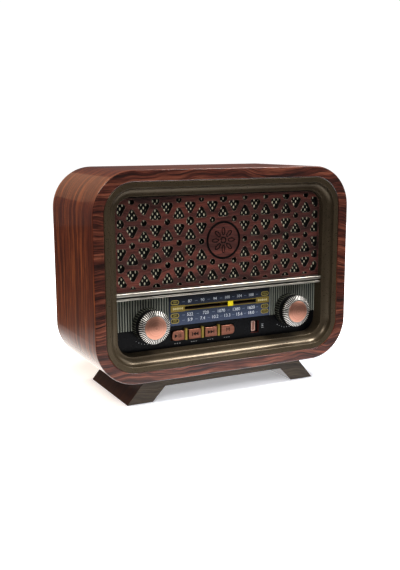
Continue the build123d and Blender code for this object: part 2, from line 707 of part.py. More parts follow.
def stand():
    top = -HEIGHT / 2
    bottom = top - FOOT_DROP + PAD_PROUD
    under = top - PLATE_THICK
    right = [(STAND_NECK, under), (FOOT_INNER, bottom), (FOOT_OUTER, bottom), (STAND_TOP, top)]
    left = [(-x, z) for x, z in reversed(right)]
    outline = make_face(Polyline(*right, *left, close=True))
    bracket = slab(outline, STAND_INSET, DEPTH - STAND_INSET)
    bracket -= [block(*pad) for pad in pad_boxes(bottom)]
    for x, y in stand_screw_places():
        bracket -= along_z(1.9, x, y, (under, top))
        bracket -= Pos(x, y, under + 1) * Cone(3.4, 1.9, 2)
    return bracket


def pad_boxes(bottom):
    """Give each foot pad as its (low, high) pair along each axis."""
    pads = []
    depth = PAD_THICK - PAD_PROUD
    for sign in (-1, 1):
        x = sorted((sign * (FOOT_INNER + 4), sign * (FOOT_OUTER - 4)))
        for y in ((STAND_INSET + 4, STAND_INSET + 22), (DEPTH - STAND_INSET - 22, DEPTH - STAND_INSET - 4)):
            pads.append((x, y, (bottom - PAD_PROUD, bottom + depth)))
    return pads


def foot_pads():
    bottom = -HEIGHT / 2 - FOOT_DROP + PAD_PROUD
    return Compound(children=[block(*pad) for pad in pad_boxes(bottom)])


def stand_screws():
    under = -HEIGHT / 2 - PLATE_THICK
    screws = []
    for x, y in stand_screw_places():
        head = Pos(x, y, under + 1) * Cone(3.3, 1.5, 2)
        socket = Pos(x, y, under) * extrude(RegularPolygon(1.4, 6), amount=0.8)
        screws.append((head + along_z(1.5, x, y, (under + 1, under + 14)) - socket).solid())
    return Compound(children=screws)


def speaker_screw_places():
    angles = [radians(45 + 90 * index) for index in range(4)]
    return [(SPEAKER_SCREW * cos(a), SPEAKER_Z + SPEAKER_SCREW * sin(a)) for a in angles]


def speaker_frame():
    outline = [
        (35.2, BAFFLE_BACK), (SPEAKER_FLANGE, BAFFLE_BACK), (SPEAKER_FLANGE, FLANGE_BACK),
        (36.6, FLANGE_BACK), (36.2, 29.6), (24.0, POLE_FRONT), (7.0, POLE_FRONT), (7.0, 44.5), (22.6, 44.5),
        (33.6, 28.8), (33.6, 27.4), (35.2, 27.4),
    ]
    frame = turned(outline, 0, SPEAKER_Z)
    centre = Pos(0, 37.2, SPEAKER_Z)
    frame -= [centre * Box(84, 9, BASKET_SLOT), centre * Box(BASKET_SLOT, 9, 84)]
    hole = SPEAKER_SHANK + 0.25
    return frame - [rod(x, z, hole, BAFFLE_BACK, FLANGE_BACK) for x, z in speaker_screw_places()]


def speaker_surround():
    outline = make_face([
        Line((29.2, 27.3), (30.4, 27.3)),
        ThreePointArc((30.4, 27.3), (32.2, 25.6), (33.8, 26.9)),
        Line((33.8, 26.9), (35.1, 26.9)),
        Line((35.1, 26.9), (35.1, 27.3)),
        Line((35.1, 27.3), (33.5, 27.3)),
        ThreePointArc((33.5, 27.3), (32.2, 26.1), (30.8, 27.7)),
        Line((30.8, 27.7), (29.2, 27.7)),
        Line((29.2, 27.7), (29.2, 27.3)),
    ])
    return Pos(0, 0, SPEAKER_Z) * revolve(outline, axis=Axis.Y)


def speaker_cone():
    outline = [
        (0, 35.5), (6, 36.4), (10, 38.6), (10.4, 39.2), (29.0, 27.2), (29.1, 28.0), (12.6, 39.4),
        (12.6, 43.6), (11.9, 43.6), (11.9, 39.8), (9.4, 39.4), (5.6, 37.2), (0, 36.3),
    ]
    return turned(outline, 0, SPEAKER_Z)


def speaker_magnet():
    magnet = rod(0, SPEAKER_Z, MAGNET_RADIUS, MAGNET_FRONT, MAGNET_BACK)
    magnet += rod(0, SPEAKER_Z, MAGNET_RADIUS - 2.5, POLE_FRONT, MAGNET_FRONT)
    return magnet + rod(0, SPEAKER_Z, MAGNET_RADIUS - 3.5, MAGNET_BACK, POLE_BACK)


def speaker_screws():
    screws = []
    for x, z in speaker_screw_places():
        shank = rod(x, z, SPEAKER_SHANK, BAFFLE_BACK - SPEAKER_SCREW_BITE, FLANGE_BACK)
        head = rod(x, z, SPEAKER_HEAD, FLANGE_BACK, FLANGE_BACK + 2.1)
        head -= slab(Pos(x, z) * Rectangle(3.4, 0.7), FLANGE_BACK + 1.3, FLANGE_BACK + 2.1)
        screws.append((shank + head).solid())
    return Compound(children=screws)


def cover_screw_places():
    side = WIDTH / 2 - WALL - RAIL / 2
    top = HEIGHT / 2 - WALL - RAIL / 2
    return [(-side, -36), (side, -36), (-side, 36), (side, 36), (0, -top), (0, top)]


def main_board_posts():
    return [(6, -68), (80, -68), (6, -14), (80, -14)]


def rear_cover():
    plate = rounded(WIDTH - 2 * WALL - 0.6, HEIGHT - 2 * WALL - 0.6, CORNER - WALL - 0.3)
    cover = slab(plate, COVER_FRONT, COVER_BACK)
    door_w, door_h = DOOR_SIZE
    box = slab(Pos(CELL_X, CELL_Z) * Rectangle(door_w + 6, door_h + 6), CELL_DEPTH - 12.5, COVER_FRONT)
    box -= slab(Pos(CELL_X, CELL_Z) * Rectangle(door_w + 2, door_h + 2), CELL_DEPTH - 10.5, COVER_FRONT)
    cover += box
    hole = Rectangle(door_w + 2 * DOOR_GAP, door_h + 2 * DOOR_GAP)
    cover -= slab(Pos(CELL_X, CELL_Z) * hole, COVER_FRONT, COVER_BACK)
    hinge = CELL_Z - door_h / 2 + 1.0
    reach = door_w / 2 + 2.2
    cover -= along_x(DOOR_PIN + RUNNING, (CELL_X - reach, CELL_X + reach), COVER_BACK - DOOR_HINGE, hinge)
    vents = [Pos(index * VENT_PITCH, VENT_Z) * rounded(*VENT_SIZE, 1.4) for index in range(-7, 8)]
    cover -= [slab(vent, COVER_FRONT, COVER_BACK) for vent in vents]
    cover -= rod(JACK_X, SOCKET_Z, 4.0, COVER_FRONT, COVER_BACK)
    cover -= slab(Pos(SWITCH_X, SOCKET_Z) * rounded(12, 5, 1), COVER_FRONT, COVER_BACK)
    cover -= rod(MAST_X, MAST_Z, 3.0 + RUNNING, COVER_FRONT, COVER_BACK)
    cover -= [rod(x, z, 1.7, COVER_FRONT, COVER_BACK) for x, z in cover_screw_places()]
    cover += [rod(x, z, 3.0, MAIN_BOARD_DEPTH + BOARD_THICK, COVER_FRONT) for x, z in main_board_posts()]
    for x in (-ARM_X, ARM_X):
        arm = block((x - 3, x + 3), (ROD_DEPTH - 7, COVER_FRONT), (ROD_Z - 7, ROD_Z + 7))
        cover += arm - along_x(ROD_RADIUS, (x - 5, x + 5), ROD_DEPTH, ROD_Z)
    return cover


def rear_screws():
    screws = []
    for x, z in cover_screw_places():
        shank = rod(x, z, COVER_PILOT, RAIL_FRONT + 1, COVER_BACK)
        head = rod(x, z, 3.0, COVER_BACK, COVER_BACK + 1.6)
        cross = Pos(x, z) * (Rectangle(3.6, 0.8) + Rectangle(0.8, 3.6))
        head -= slab(cross, COVER_BACK + 0.7, COVER_BACK + 1.6)
        screws.append((shank + head).solid())
    return Compound(children=screws)


def battery_door():
    door_w, door_h = DOOR_SIZE
    door = slab(Pos(CELL_X, CELL_Z) * Rectangle(door_w, door_h), COVER_BACK - DOOR_THICK, COVER_BACK)
    bottom = door.edges().filter_by(Axis.X).group_by(Axis.Z)[0]
    door = fillet(bottom, 1.0)
    hinge = CELL_Z - door_h / 2 + 1.0
    for sign in (-1, 1):
        x = sorted((CELL_X + sign * (door_w / 2 - 1), CELL_X + sign * (door_w / 2 + 2.0)))
        door += along_x(DOOR_PIN, x, COVER_BACK - DOOR_HINGE, hinge)
    grip = Pos(CELL_X, COVER_BACK, CELL_Z + door_h / 2 - 4)
    return door - [grip * Pos(0, 0, -1.6 * line) * Box(14, 0.8, 0.7) for line in range(3)]


def battery_cell():
    left = CELL_X - CELL_LENGTH / 2
    right = CELL_X + CELL_LENGTH / 2
    can = along_x(CELL_RADIUS, (left, right - 1), CELL_DEPTH, CELL_Z)
    return can + along_x(3.0, (right - 1, right), CELL_DEPTH, CELL_Z)


def battery_contacts():
    contacts = []
    room = DOOR_SIZE[0] / 2 + 1
    reach = CELL_LENGTH / 2
    for sign in (-1, 1):
        plate = sorted((CELL_X + sign * room, CELL_X + sign * (room - 0.6)))
        button = sorted((CELL_X + sign * (room - 0.6), CELL_X + sign * reach))
        contact = block(plate, (CELL_DEPTH - 8, CELL_DEPTH + 8), (CELL_Z - 7, CELL_Z + 7))
        contacts.append((contact + along_x(2.6, button, CELL_DEPTH, CELL_Z)).solid())
    return Compound(children=contacts)


def main_board():
    back = MAIN_BOARD_DEPTH
    board = block((0, 86), (back, back + BOARD_THICK), (-74, -8))
    board += block((18, 30), (back - 3, back), (-40, -28))
    board += block((46, 54), (back - 1.6, back), (-34, -24))
    for x, z in ((60, -22), (60, -38), (24, -18)):
        board += rod(x, z, 4.0, back - 11, back)
    for x in (12, 74):
        board += rod(x, -54, 3.0, back - 7, back)
    return board


def aux_jack():
    face = MAIN_BOARD_DEPTH + BOARD_THICK
    jack = block((JACK_X - 6, JACK_X + 6), (face, COVER_FRONT - 0.2), (SOCKET_Z - 5, SOCKET_Z + 5))
    jack += rod(JACK_X, SOCKET_Z, 3.9, face, COVER_BACK + 0.3)
    return jack - rod(JACK_X, SOCKET_Z, JACK_BORE, COVER_BACK - 13.7, COVER_BACK + 0.3)


def band_switch():
    face = MAIN_BOARD_DEPTH + BOARD_THICK
    body = block((SWITCH_X - 9, SWITCH_X + 9), (face, 105.0), (SOCKET_Z - 4, SOCKET_Z + 4))
    track = block((SWITCH_X - 6, SWITCH_X + 6), (101.0, 105.0), (SOCKET_Z - 1.6, SOCKET_Z + 1.6))
    return body - track


def band_switch_slider():
    wide = (SWITCH_X - 2.6, SWITCH_X + 2.6)
    face = COVER_BACK + 0.3
    foot = block(wide, (101.4, 104.6), (SOCKET_Z - 1.3, SOCKET_Z + 1.3))
    neck = block((SWITCH_X - 2, SWITCH_X + 2), (104.6, face), (SOCKET_Z - 1.2, SOCKET_Z + 1.2))
    grip = block(wide, (face, face + 1.6), (SOCKET_Z - 2, SOCKET_Z + 2))
    ridges = [
        Pos(SWITCH_X + 1.4 * step, COVER_BACK + 1.9, SOCKET_Z) * Box(0.5, 0.6, 5)
        for step in (-1, 0, 1)
    ]
    return foot + neck + (grip - ridges)


def ferrite_rod():
    return along_x(ROD_RADIUS, (-ROD_HALF, ROD_HALF), ROD_DEPTH, ROD_Z)


def ferrite_coil():
    coil = along_x(COIL_RADIUS, (-COIL_HALF, COIL_HALF), ROD_DEPTH, ROD_Z)
    return coil - along_x(ROD_RADIUS, (-COIL_HALF - 1, COIL_HALF + 1), ROD_DEPTH, ROD_Z)


def antenna_swivel():
    outline = [
        (0, 103.0), (5.0, 103.0), (5.0, 105.8), (3.0, 105.8), (3.0, COVER_BACK + 0.2),
        (7.0, COVER_BACK + 0.2), (7.0, 111.2), (0, 111.2),
    ]
    swivel = turned(outline, MAST_X, MAST_Z)
    for sign in (-1, 1):
        z = sorted((MAST_Z + sign * FORK_GAP, MAST_Z + sign * FORK_CHEEK))
        cheek = block((MAST_X - 3.3, MAST_X + 3.3), (111.2, FORK_BACK), z)
        swivel += fillet(cheek.edges().filter_by(Axis.Z).sort_by(Axis.Y)[2:], 3.0)
    return swivel - along_z(HINGE_PIN, MAST_X, MAST_DEPTH, (MAST_Z - 5, MAST_Z + 5))


def antenna_hinge_pin():
    top = MAST_Z + FORK_CHEEK
    pin = along_z(HINGE_PIN, MAST_X, MAST_DEPTH, (MAST_Z - FORK_CHEEK, top))
    return pin + along_z(HINGE_PIN + 0.7, MAST_X, MAST_DEPTH, (top, top + 0.7))


def antenna_lower_tube():
    tang = along_z(2.9, MAST_X, MAST_DEPTH, (MAST_Z - 2.1, MAST_Z + 2.1))
    tang += block((MAST_X - 8, MAST_X), (MAST_DEPTH - 2.4, MAST_DEPTH + 2.4), (MAST_Z - 2.1, MAST_Z + 2.1))
    outer, bore = LOWER_TUBE
    tube = tang + along_x(outer, (MAST_END, MAST_X - 5), MAST_DEPTH, MAST_Z)
    tube -= along_x(bore, (MAST_END, MAST_X - 9), MAST_DEPTH, MAST_Z)
    return tube - along_z(HINGE_PIN + RUNNING, MAST_X, MAST_DEPTH, (MAST_Z - 5, MAST_Z + 5))


def antenna_middle_tube():
    span = (MAST_END - 2, MAST_X - 12)
    outer, bore = MIDDLE_TUBE
    tube = along_x(outer, span, MAST_DEPTH, MAST_Z)
    return tube - along_x(bore, (span[0], span[1] - 2), MAST_DEPTH, MAST_Z)


def antenna_tip_rod():
    start = MAST_END - 4
    radius, length = TIP_CAP
    tip = along_x(TIP_RADIUS, (start, MAST_X - 18), MAST_DEPTH, MAST_Z)
    cap = along_x(radius, (start - length, start), MAST_DEPTH, MAST_Z)
    return tip + fillet(cap.edges().filter_by(GeomType.CIRCLE), 0.8)


def save(name, shape):
    """Move a piece to the part's frame and write it as one STEP file."""
    moved = Pos(0, -MIDDLE_DEPTH, CENTRE_HEIGHT) * shape
    export_step(moved, "parts/" + name + ".step")


def main():
    os.makedirs("parts", exist_ok=True)
    pieces = {
        "cabinet_shell": cabinet_shell(),
        "front_bezel": front_bezel(),
        "front_baffle": front_baffle(),
        "grille_board": grille_board(),
        "grille_cloth": grille_cloth(),
        "fascia_panel": fascia_panel(),
        "left_ribbed_insert": ribbed_insert(-1),
        "right_ribbed_insert": ribbed_insert(1),
        "dial_plate": dial_plate(),
        "pointer_slot_frame": pointer_slot_frame(),
        "dial_pointer": dial_pointer(),
        "pointer_rail": pointer_rail(),
        "dial_bracket": dial_bracket(),
        "dial_cord": dial_cord(),
        "left_idler_pulley": idler_pulley(-IDLER_X),
        "right_idler_pulley": idler_pulley(IDLER_X),
        "tuning_shaft": tuning_shaft(),
        "tuning_encoder": tuning_encoder(),
        "volume_shaft": volume_shaft(),
        "volume_pot": volume_pot(),
        "button_comb": button_comb(),
        "control_board": control_board(),
        "tact_switches": tact_switches(),
        "usb_port": usb_port(),
        "stand": stand(),
        "foot_pads": foot_pads(),
        "stand_screws": stand_screws(),
        "speaker_frame": speaker_frame(),
        "speaker_surround": speaker_surround(),
        "speaker_cone": speaker_cone(),
        "speaker_magnet": speaker_magnet(),
        "speaker_screws": speaker_screws(),
        "rear_cover": rear_cover(),
        "rear_screws": rear_screws(),
        "battery_door": battery_door(),
        "battery_cell": battery_cell(),
        "battery_contacts": battery_contacts(),
        "main_board": main_board(),
        "aux_jack": aux_jack(),
        "band_switch": band_switch(),
        "band_switch_slider": band_switch_slider(),
        "ferrite_rod": ferrite_rod(),
        "ferrite_coil": ferrite_coil(),
        "antenna_swivel": antenna_swivel(),
        "antenna_hinge_pin": antenna_hinge_pin(),
        "antenna_lower_tube": antenna_lower_tube(),
        "antenna_middle_tube": antenna_middle_tube(),
        "antenna_tip_rod": antenna_tip_rod(),
    }
    for name in BARS:
        pieces[name] = trim_bar(name)
    for index, name in enumerate(BUTTON_NAMES):
        pieces[name] = push_button(index)
    for name, x in (("volume", -KNOB_X), ("tuning", KNOB_X)):
        body, ring, cap = knob_parts(x)
        pieces[name + "_knob_body"] = body
        pieces[name + "_knob_ring"] = ring
        pieces[name + "_knob_cap"] = cap
    for name, shape in pieces.items():
        save(name, shape)
    print(len(pieces), "nodes")


main()
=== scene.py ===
import json
import math
import random

import bmesh
import bpy
from mathutils import Matrix, Vector


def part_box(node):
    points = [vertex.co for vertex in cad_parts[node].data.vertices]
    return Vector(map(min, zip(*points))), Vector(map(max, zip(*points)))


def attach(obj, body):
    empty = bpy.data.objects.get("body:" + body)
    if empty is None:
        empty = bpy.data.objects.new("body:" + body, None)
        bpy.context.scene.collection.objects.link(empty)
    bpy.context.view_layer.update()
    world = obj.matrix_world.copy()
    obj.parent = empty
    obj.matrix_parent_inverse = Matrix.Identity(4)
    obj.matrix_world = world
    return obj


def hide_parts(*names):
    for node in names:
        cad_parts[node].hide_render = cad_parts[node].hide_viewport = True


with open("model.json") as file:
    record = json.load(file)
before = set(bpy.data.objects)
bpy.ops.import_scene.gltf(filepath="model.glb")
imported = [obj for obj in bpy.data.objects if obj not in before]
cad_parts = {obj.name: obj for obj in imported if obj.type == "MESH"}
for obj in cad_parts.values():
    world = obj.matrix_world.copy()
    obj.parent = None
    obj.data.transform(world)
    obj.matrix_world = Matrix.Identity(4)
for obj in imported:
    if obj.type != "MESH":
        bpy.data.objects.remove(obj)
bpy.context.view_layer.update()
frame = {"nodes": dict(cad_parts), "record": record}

# The looks of the tabletop radio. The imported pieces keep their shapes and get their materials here. The
# woven cloth, the dial's printing, the button symbols, the front's small marks and the port's sleeve are
# made as pieces. Lengths are in metres and places come from the frame's boxes.

random.seed(7)
MM = 0.001
INK = 0.06 * MM  # how thick printing and small marks are
KEY_BODIES = {
    "play_button": "play_key",
    "previous_button": "previous_key",
    "next_button": "next_key",
    "mode_button": "mode_key",
}


def middle(node):
    """Give the centre of a node's box."""
    low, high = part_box(node)
    return (Vector(low) + Vector(high)) / 2


def front_of(node):
    """Give the depth of a node's foremost face."""
    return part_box(node)[0][1]


# ---------------------------------------------------------------- node graphs


def tone(code, alpha=1.0):
    """Turn an sRGB colour such as "8a4a3c" into a linear one."""
    parts = [int(code[i:i + 2], 16) / 255 for i in (0, 2, 4)]
    linear = [p / 12.92 if p <= 0.04045 else ((p + 0.055) / 1.055) ** 2.4 for p in parts]
    return (*linear, alpha)


class Graph:
    """One material's node tree, with its shader and the object coordinates at hand."""

    def __init__(self, name):
        self.material = bpy.data.materials.new(name)
        self.material.use_nodes = True
        self.tree = self.material.node_tree
        self.tree.nodes.clear()
        output = self.tree.nodes.new("ShaderNodeOutputMaterial")
        self.shader = self.tree.nodes.new("ShaderNodeBsdfPrincipled")
        self.tree.links.new(self.shader.outputs[0], output.inputs[0])
        coordinates = self.tree.nodes.new("ShaderNodeTexCoord")
        self.place = coordinates.outputs["Object"]
        self.facing = coordinates.outputs["Normal"]

    def put(self, socket, value):
        """Link a socket to another one, or give it a constant value."""
        if isinstance(value, bpy.types.NodeSocket):
            self.tree.links.new(value, socket)
        else:
            socket.default_value = value

    def set(self, **values):
        """Set the shader's sockets; underscores stand for spaces."""
        for key, value in values.items():
            self.put(self.shader.inputs[key.replace("_", " ")], value)

    def node(self, kind, inputs, **settings):
        """Add a node with its inputs and settings."""
        node = self.tree.nodes.new("ShaderNode" + kind)
        for key, value in settings.items():
            setattr(node, key, value)
        for key, value in inputs.items():
            self.put(node.inputs[key], value)
        return node

    def math(self, operation, *values):
        inputs = dict(enumerate(values))
        return self.node("Math", inputs, operation=operation).outputs[0]

    def split(self, vector):
        return self.node("SeparateXYZ", {0: vector}).outputs

    def join(self, x, y, z):
        return self.node("CombineXYZ", {0: x, 1: y, 2: z}).outputs[0]

    def scaled(self, vector, scale, shift=(0, 0, 0)):
        return self.node("Mapping", {0: vector, 1: shift, 3: scale}).outputs[0]

    def noise(self, vector, scale=(1, 1, 1), shift=(0, 0, 0), detail=2.0, roughness=0.5):
        place = self.scaled(vector, scale, shift)
        inputs = {"Vector": place, "Scale": 1.0, "Detail": detail, "Roughness": roughness}
        return self.node("TexNoise", inputs).outputs[0]

    def ramp(self, factor, *stops):
        """Map a factor to colours through (position, colour) stops."""
        node = self.node("ValToRGB", {0: factor})
        points = node.color_ramp.elements
        while len(points) < len(stops):
            points.new(0.5)
        for point, (position, colour) in zip(points, stops):
            point.position = position
            point.color = colour
        return node.outputs[0]

    def fit(self, value, low, high, to_low, to_high):
        """Map a range of values to another range, and hold it at the ends."""
        inputs = {0: value, 1: low, 2: high, 3: to_low, 4: to_high}
        return self.node("MapRange", inputs).outputs[0]

    def blend(self, factor, first, second, mode="MIX"):
        node = self.node("Mix", {}, data_type="RGBA", blend_type=mode)
        self.put(node.inputs[0], factor)
        self.put(node.inputs[6], first)
        self.put(node.inputs[7], second)
        return node.outputs[2]

    def bump(self, height, distance, strength=1.0):
        inputs = {"Height": height, "Distance": distance, "Strength": strength}
        return self.node("Bump", inputs).outputs[0]

    def knob_place(self, axes):
        """Give the offset across and up from the nearer knob's axis, and the distance from it."""
        x, _, z = self.split(self.place)
        across = self.math("SUBTRACT", x, self.math("MULTIPLY", self.math("SIGN", x), axes.x))
        up = self.math("SUBTRACT", z, axes.z)
        squares = self.math("ADD", self.math("POWER", across, 2.0), self.math("POWER", up, 2.0))
        return across, up, self.math("SQRT", squares)


# ---------------------------------------------------------------- materials

WHITE = tone("ffffff")
EMBLEM_RISE = 39.9 * MM  # the medallion's centre above the cloth's lower edge
EMBLEM_RADIUS = 18.4 * MM
RING_TEETH = 48
BODY_TEETH = 40
RING_GROOVES = (10.3 * MM, 10.7 * MM)  # the radii between which the grooves come in
BODY_GROOVES = (15.0 * MM, 15.2 * MM)
WALNUT_SWAY = (0.011, 0.026)  # how far the streaks wander, on side walls and on flat faces
WALNUT_FIGURE = (0.002, 0.006)
FRETWORK_SWAY = 0.045
RIB_DEPTHS = (0.2 * MM, 0.6 * MM)  # where the ribs' light fronts end and the painted shade of their grooves is full
THREAD_PITCH = 0.6 * MM
FACING = 0.7  # a face whose normal leans less than this along Y is a side wall
GLINT_WIDTH = 0.55 * MM  # the width of the painted glint round the fretwork's holes
FRONT_SKIN = 0.3 * MM  # how far behind the board's front the stain still counts as the front's


def moulded(name, dark, light, roughness, grain=900.0, relief=0.02, metallic=0.0, coat=0.0, specular=0.5):
    """Moulded or painted plastic: a fine grain, with broad soft changes of colour and gloss."""
    g = Graph(name)
    broad = g.noise(g.place, (40, 40, 40), detail=3)
    fine = g.noise(g.place, (grain, grain, grain), detail=1)
    g.set(
        Base_Color=g.ramp(broad, (0.3, tone(dark)), (0.7, tone(light))),
        Roughness=g.fit(fine, 0.3, 0.7, roughness * 0.9, roughness * 1.15),
        Metallic=metallic,
        Specular_IOR_Level=specular,
        Coat_Weight=coat,
        Coat_Roughness=0.08,
    )
    if relief:
        g.set(Normal=g.bump(fine, relief * MM))
    return g.material


def brushed(name, dark, light, roughness, stretch=(30, 1200, 1200), relief=0.006):
    """Metal with fine parallel brush lines; the lines run along the axis with the smallest stretch."""
    g = Graph(name)
    lines = g.noise(g.place, stretch, detail=3, roughness=0.6)
    smudge = g.noise(g.place, (35, 35, 35), shift=(3, 1, 2), detail=2)
    g.set(
        Base_Color=g.ramp(lines, (0.25, tone(dark)), (0.75, tone(light))),
        Metallic=1.0,
        Roughness=g.fit(smudge, 0.3, 0.7, roughness * 0.8, roughness * 1.25),
    )
    if relief:
        g.set(Normal=g.bump(lines, relief * MM))
    return g.material


def spun(name, dark, light, roughness, axes):
    """Metal turned on a lathe: fine rings about whichever of the knob axes is near."""
    g = Graph(name)
    _, _, radius = g.knob_place(axes)
    rings = g.noise(g.join(radius, 0.0, 0.0), (900, 1, 1), detail=2, roughness=0.5)
    smudge = g.noise(g.place, (90, 90, 90), detail=2)
    g.set(
        Base_Color=g.ramp(rings, (0.3, tone(dark)), (0.7, tone(light))),
        Metallic=1.0,
        Roughness=g.fit(smudge, 0.3, 0.7, roughness * 0.85, roughness * 1.2),
        Normal=g.bump(rings, 0.002 * MM),
    )
    return g.material


def walnut(name, palette, side=None, gloss=0.6):
    """Lacquered walnut veneer.

    Faces that look forwards or backwards have their grain along X, and all others have it round the
    cabinet, with a palette of their own if side is given. The streaks wander, and short dark pores lie
    along them. The lacquer reflects more on faces that look down.
    """
    dark, middle_tone, light, streak = (tone(code) for code in palette)
    g = Graph(name)
    x, y, z = g.split(g.place)
    _, ny, nz = g.split(g.facing)
    flat = g.math("GREATER_THAN", g.math("ABSOLUTE", ny), FACING)
    sway = g.noise(g.place, (13, 13, 13), detail=2)
    sway = g.math("SUBTRACT", sway, 0.5)
    figure = g.noise(g.place, (45, 20, 45), shift=(5, 2, 9), detail=1)
    figure = g.math("SUBTRACT", figure, 0.5)
    across = g.fit(flat, 0, 1, y, z)
    across = g.math("ADD", across, g.math("MULTIPLY", sway, g.fit(flat, 0, 1, *WALNUT_SWAY)))
    across = g.math("ADD", across, g.math("MULTIPLY", figure, g.fit(flat, 0, 1, *WALNUT_FIGURE)))
    other = g.fit(flat, 0, 1, z, y)
    grain = g.join(across, x, other)
    bands = g.noise(grain, (270, 13, 13), detail=5, roughness=0.72)
    streaks = g.noise(grain, (620, 18, 18), shift=(2, 7, 1), detail=4, roughness=0.65)
    fibres = g.noise(grain, (1700, 40, 40), shift=(9, 1, 4), detail=2)
    pores = g.noise(grain, (1900, 120, 120), shift=(4, 8, 2), detail=1)
    colour = g.ramp(bands, (0.36, dark), (0.49, middle_tone), (0.62, light))
    if side is not None:
        places = (0.34, 0.49, 0.64)
        wall = g.ramp(bands, *((place, tone(code)) for place, code in zip(places, side)))
        colour = g.blend(flat, wall, colour)
    shade = g.ramp(streaks, (0.38, streak), (0.53, WHITE))
    colour = g.blend(g.fit(flat, 0, 1, 0.35, 0.85), colour, shade, "MULTIPLY")
    fleck = g.ramp(fibres, (0.30, tone("9a8a84")), (0.62, WHITE))
    colour = g.blend(g.fit(flat, 0, 1, 0.5, 0.8), colour, fleck, "MULTIPLY")
    pore = g.fit(pores, 0.66, 0.74, 0.0, 0.65)
    colour = g.blend(pore, colour, tone("1a0c09"))
    relief = g.math("ADD", g.math("MULTIPLY", fibres, 0.6), g.math("MULTIPLY", pore, -1.0))
    g.set(
        Base_Color=colour,
        Roughness=g.fit(fibres, 0.3, 0.7, 0.34, 0.48),
        Specular_IOR_Level=0.3,
        Coat_Weight=g.fit(nz, -0.15, -0.5, gloss, 1.0),
        Coat_Roughness=0.07,
        Coat_IOR=g.fit(nz, -0.15, -0.6, 1.5, 2.6),
        Normal=g.bump(relief, 0.012 * MM, 0.5),
    )
    return g.material


def fretwork(name):
    """Stained board with dark sides to its holes and engraving, and a painted pale glint round the holes'
    front edges.
    """
    g = Graph(name)
    x, y, z = g.split(g.place)
    _, ny, _ = g.split(g.facing)
    front = front_of("grille_board")
    sway = g.math("SUBTRACT", g.noise(g.place, (11, 11, 11), detail=2), 0.5)
    across = g.math("ADD", z, g.math("MULTIPLY", sway, FRETWORK_SWAY))
    grain = g.join(across, x, y)
    bands = g.noise(grain, (90, 8, 8), detail=4, roughness=0.62)
    fibres = g.noise(grain, (1300, 60, 60), shift=(9, 1, 4), detail=2)
    colour = g.ramp(bands, (0.32, tone("36201e")), (0.5, tone("57312c")), (0.68, tone("764137")))
    fleck = g.ramp(fibres, (0.30, tone("8a7b78")), (0.60, WHITE))
    colour = g.blend(0.8, colour, fleck, "MULTIPLY")
    # Painted glint: a pale tint where the bevelled normal leans away from the face, round the holes'
    # edges, kept off the medallion.
    rounded = g.node("Bevel", {0: GLINT_WIDTH}, samples=6).outputs[0]
    _, bent, _ = g.split(rounded)
    glint = g.fit(g.math("ABSOLUTE", bent), 0.985, 0.86, 0.0, 0.55)
    emblem = g.math("SUBTRACT", z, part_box("grille_cloth")[0][2] + EMBLEM_RISE)
    apart = g.math("ADD", g.math("POWER", x, 2.0), g.math("POWER", emblem, 2.0))
    glint = g.math("MULTIPLY", glint, g.math("GREATER_THAN", apart, EMBLEM_RADIUS ** 2))
    colour = g.blend(glint, colour, tone("b8a294"))
    forward = g.math("GREATER_THAN", g.math("ABSOLUTE", ny), FACING)
    near = g.math("LESS_THAN", y, front + FRONT_SKIN)
    colour = g.blend(g.math("MULTIPLY", forward, near), tone("0c0807"), colour)
    g.set(
        Base_Color=colour,
        Roughness=g.fit(fibres, 0.3, 0.7, 0.42, 0.56),
        Specular_IOR_Level=0.3,
        Coat_Weight=0.15,
        Coat_Roughness=0.2,
        Normal=g.bump(fibres, 0.01 * MM, 0.5),
    )
    return g.material


def toothed(name, axes, teeth, reach, core, tones, metallic):
    """Bright crests between the dark grooves of a knob, which hold painted shade; on the black knob the
    crests' grey is a painted highlight.

    The grooves come in over the radii of reach. Nearer the axis the colour is bright (core 0) or dark
    (core 1).
    """
    g = Graph(name)
    across, up, radius = g.knob_place(axes)
    angle = g.math("ARCTAN2", up, across)
    wave = g.math("COSINE", g.math("MULTIPLY", angle, float(teeth)))
    within = g.fit(radius, *reach, 0.0, 1.0)
    # Painted shade: the colour darkens where the angle falls between crests, over the outer radii.
    groove_shade = g.fit(wave, -0.35, 0.05, 0.0, 1.0)
    dark = g.math("ADD", g.math("MULTIPLY", groove_shade, within), g.fit(within, 0, 1, core, 0.0))
    cloud = g.noise(g.place, (150, 150, 150), detail=2)
    bright = g.ramp(cloud, (0.3, tone(tones[0])), (0.7, tone(tones[1])))
    g.set(
        Base_Color=g.blend(dark, bright, tone("060606")),
        Metallic=g.fit(dark, 0, 1, metallic, 0.0),
        Specular_IOR_Level=0.15,
        Roughness=g.fit(dark, 0, 1, 0.3, 0.8),
    )
    return g.material


def ribs(name):
    """Grey ribs whose fronts catch the light, with painted shade in the dark grooves between them."""
    g = Graph(name)
    low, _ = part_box("left_ribbed_insert")
    _, y, _ = g.split(g.place)
    # Painted shade: the colour darkens to the grooves' tone with depth behind the ribs' fronts.
    depth = g.fit(y, *(low[1] + depth for depth in RIB_DEPTHS), 0.0, 1.0)
    lines = g.noise(g.place, (700, 700, 40), detail=2)
    top = g.ramp(lines, (0.3, tone("858a80")), (0.7, tone("a9ada2")))
    g.set(
        Base_Color=g.blend(depth, top, tone("2e3331")),
        Metallic=0.35,
        Roughness=0.4,
        Normal=g.bump(lines, 0.003 * MM),
    )
    return g.material


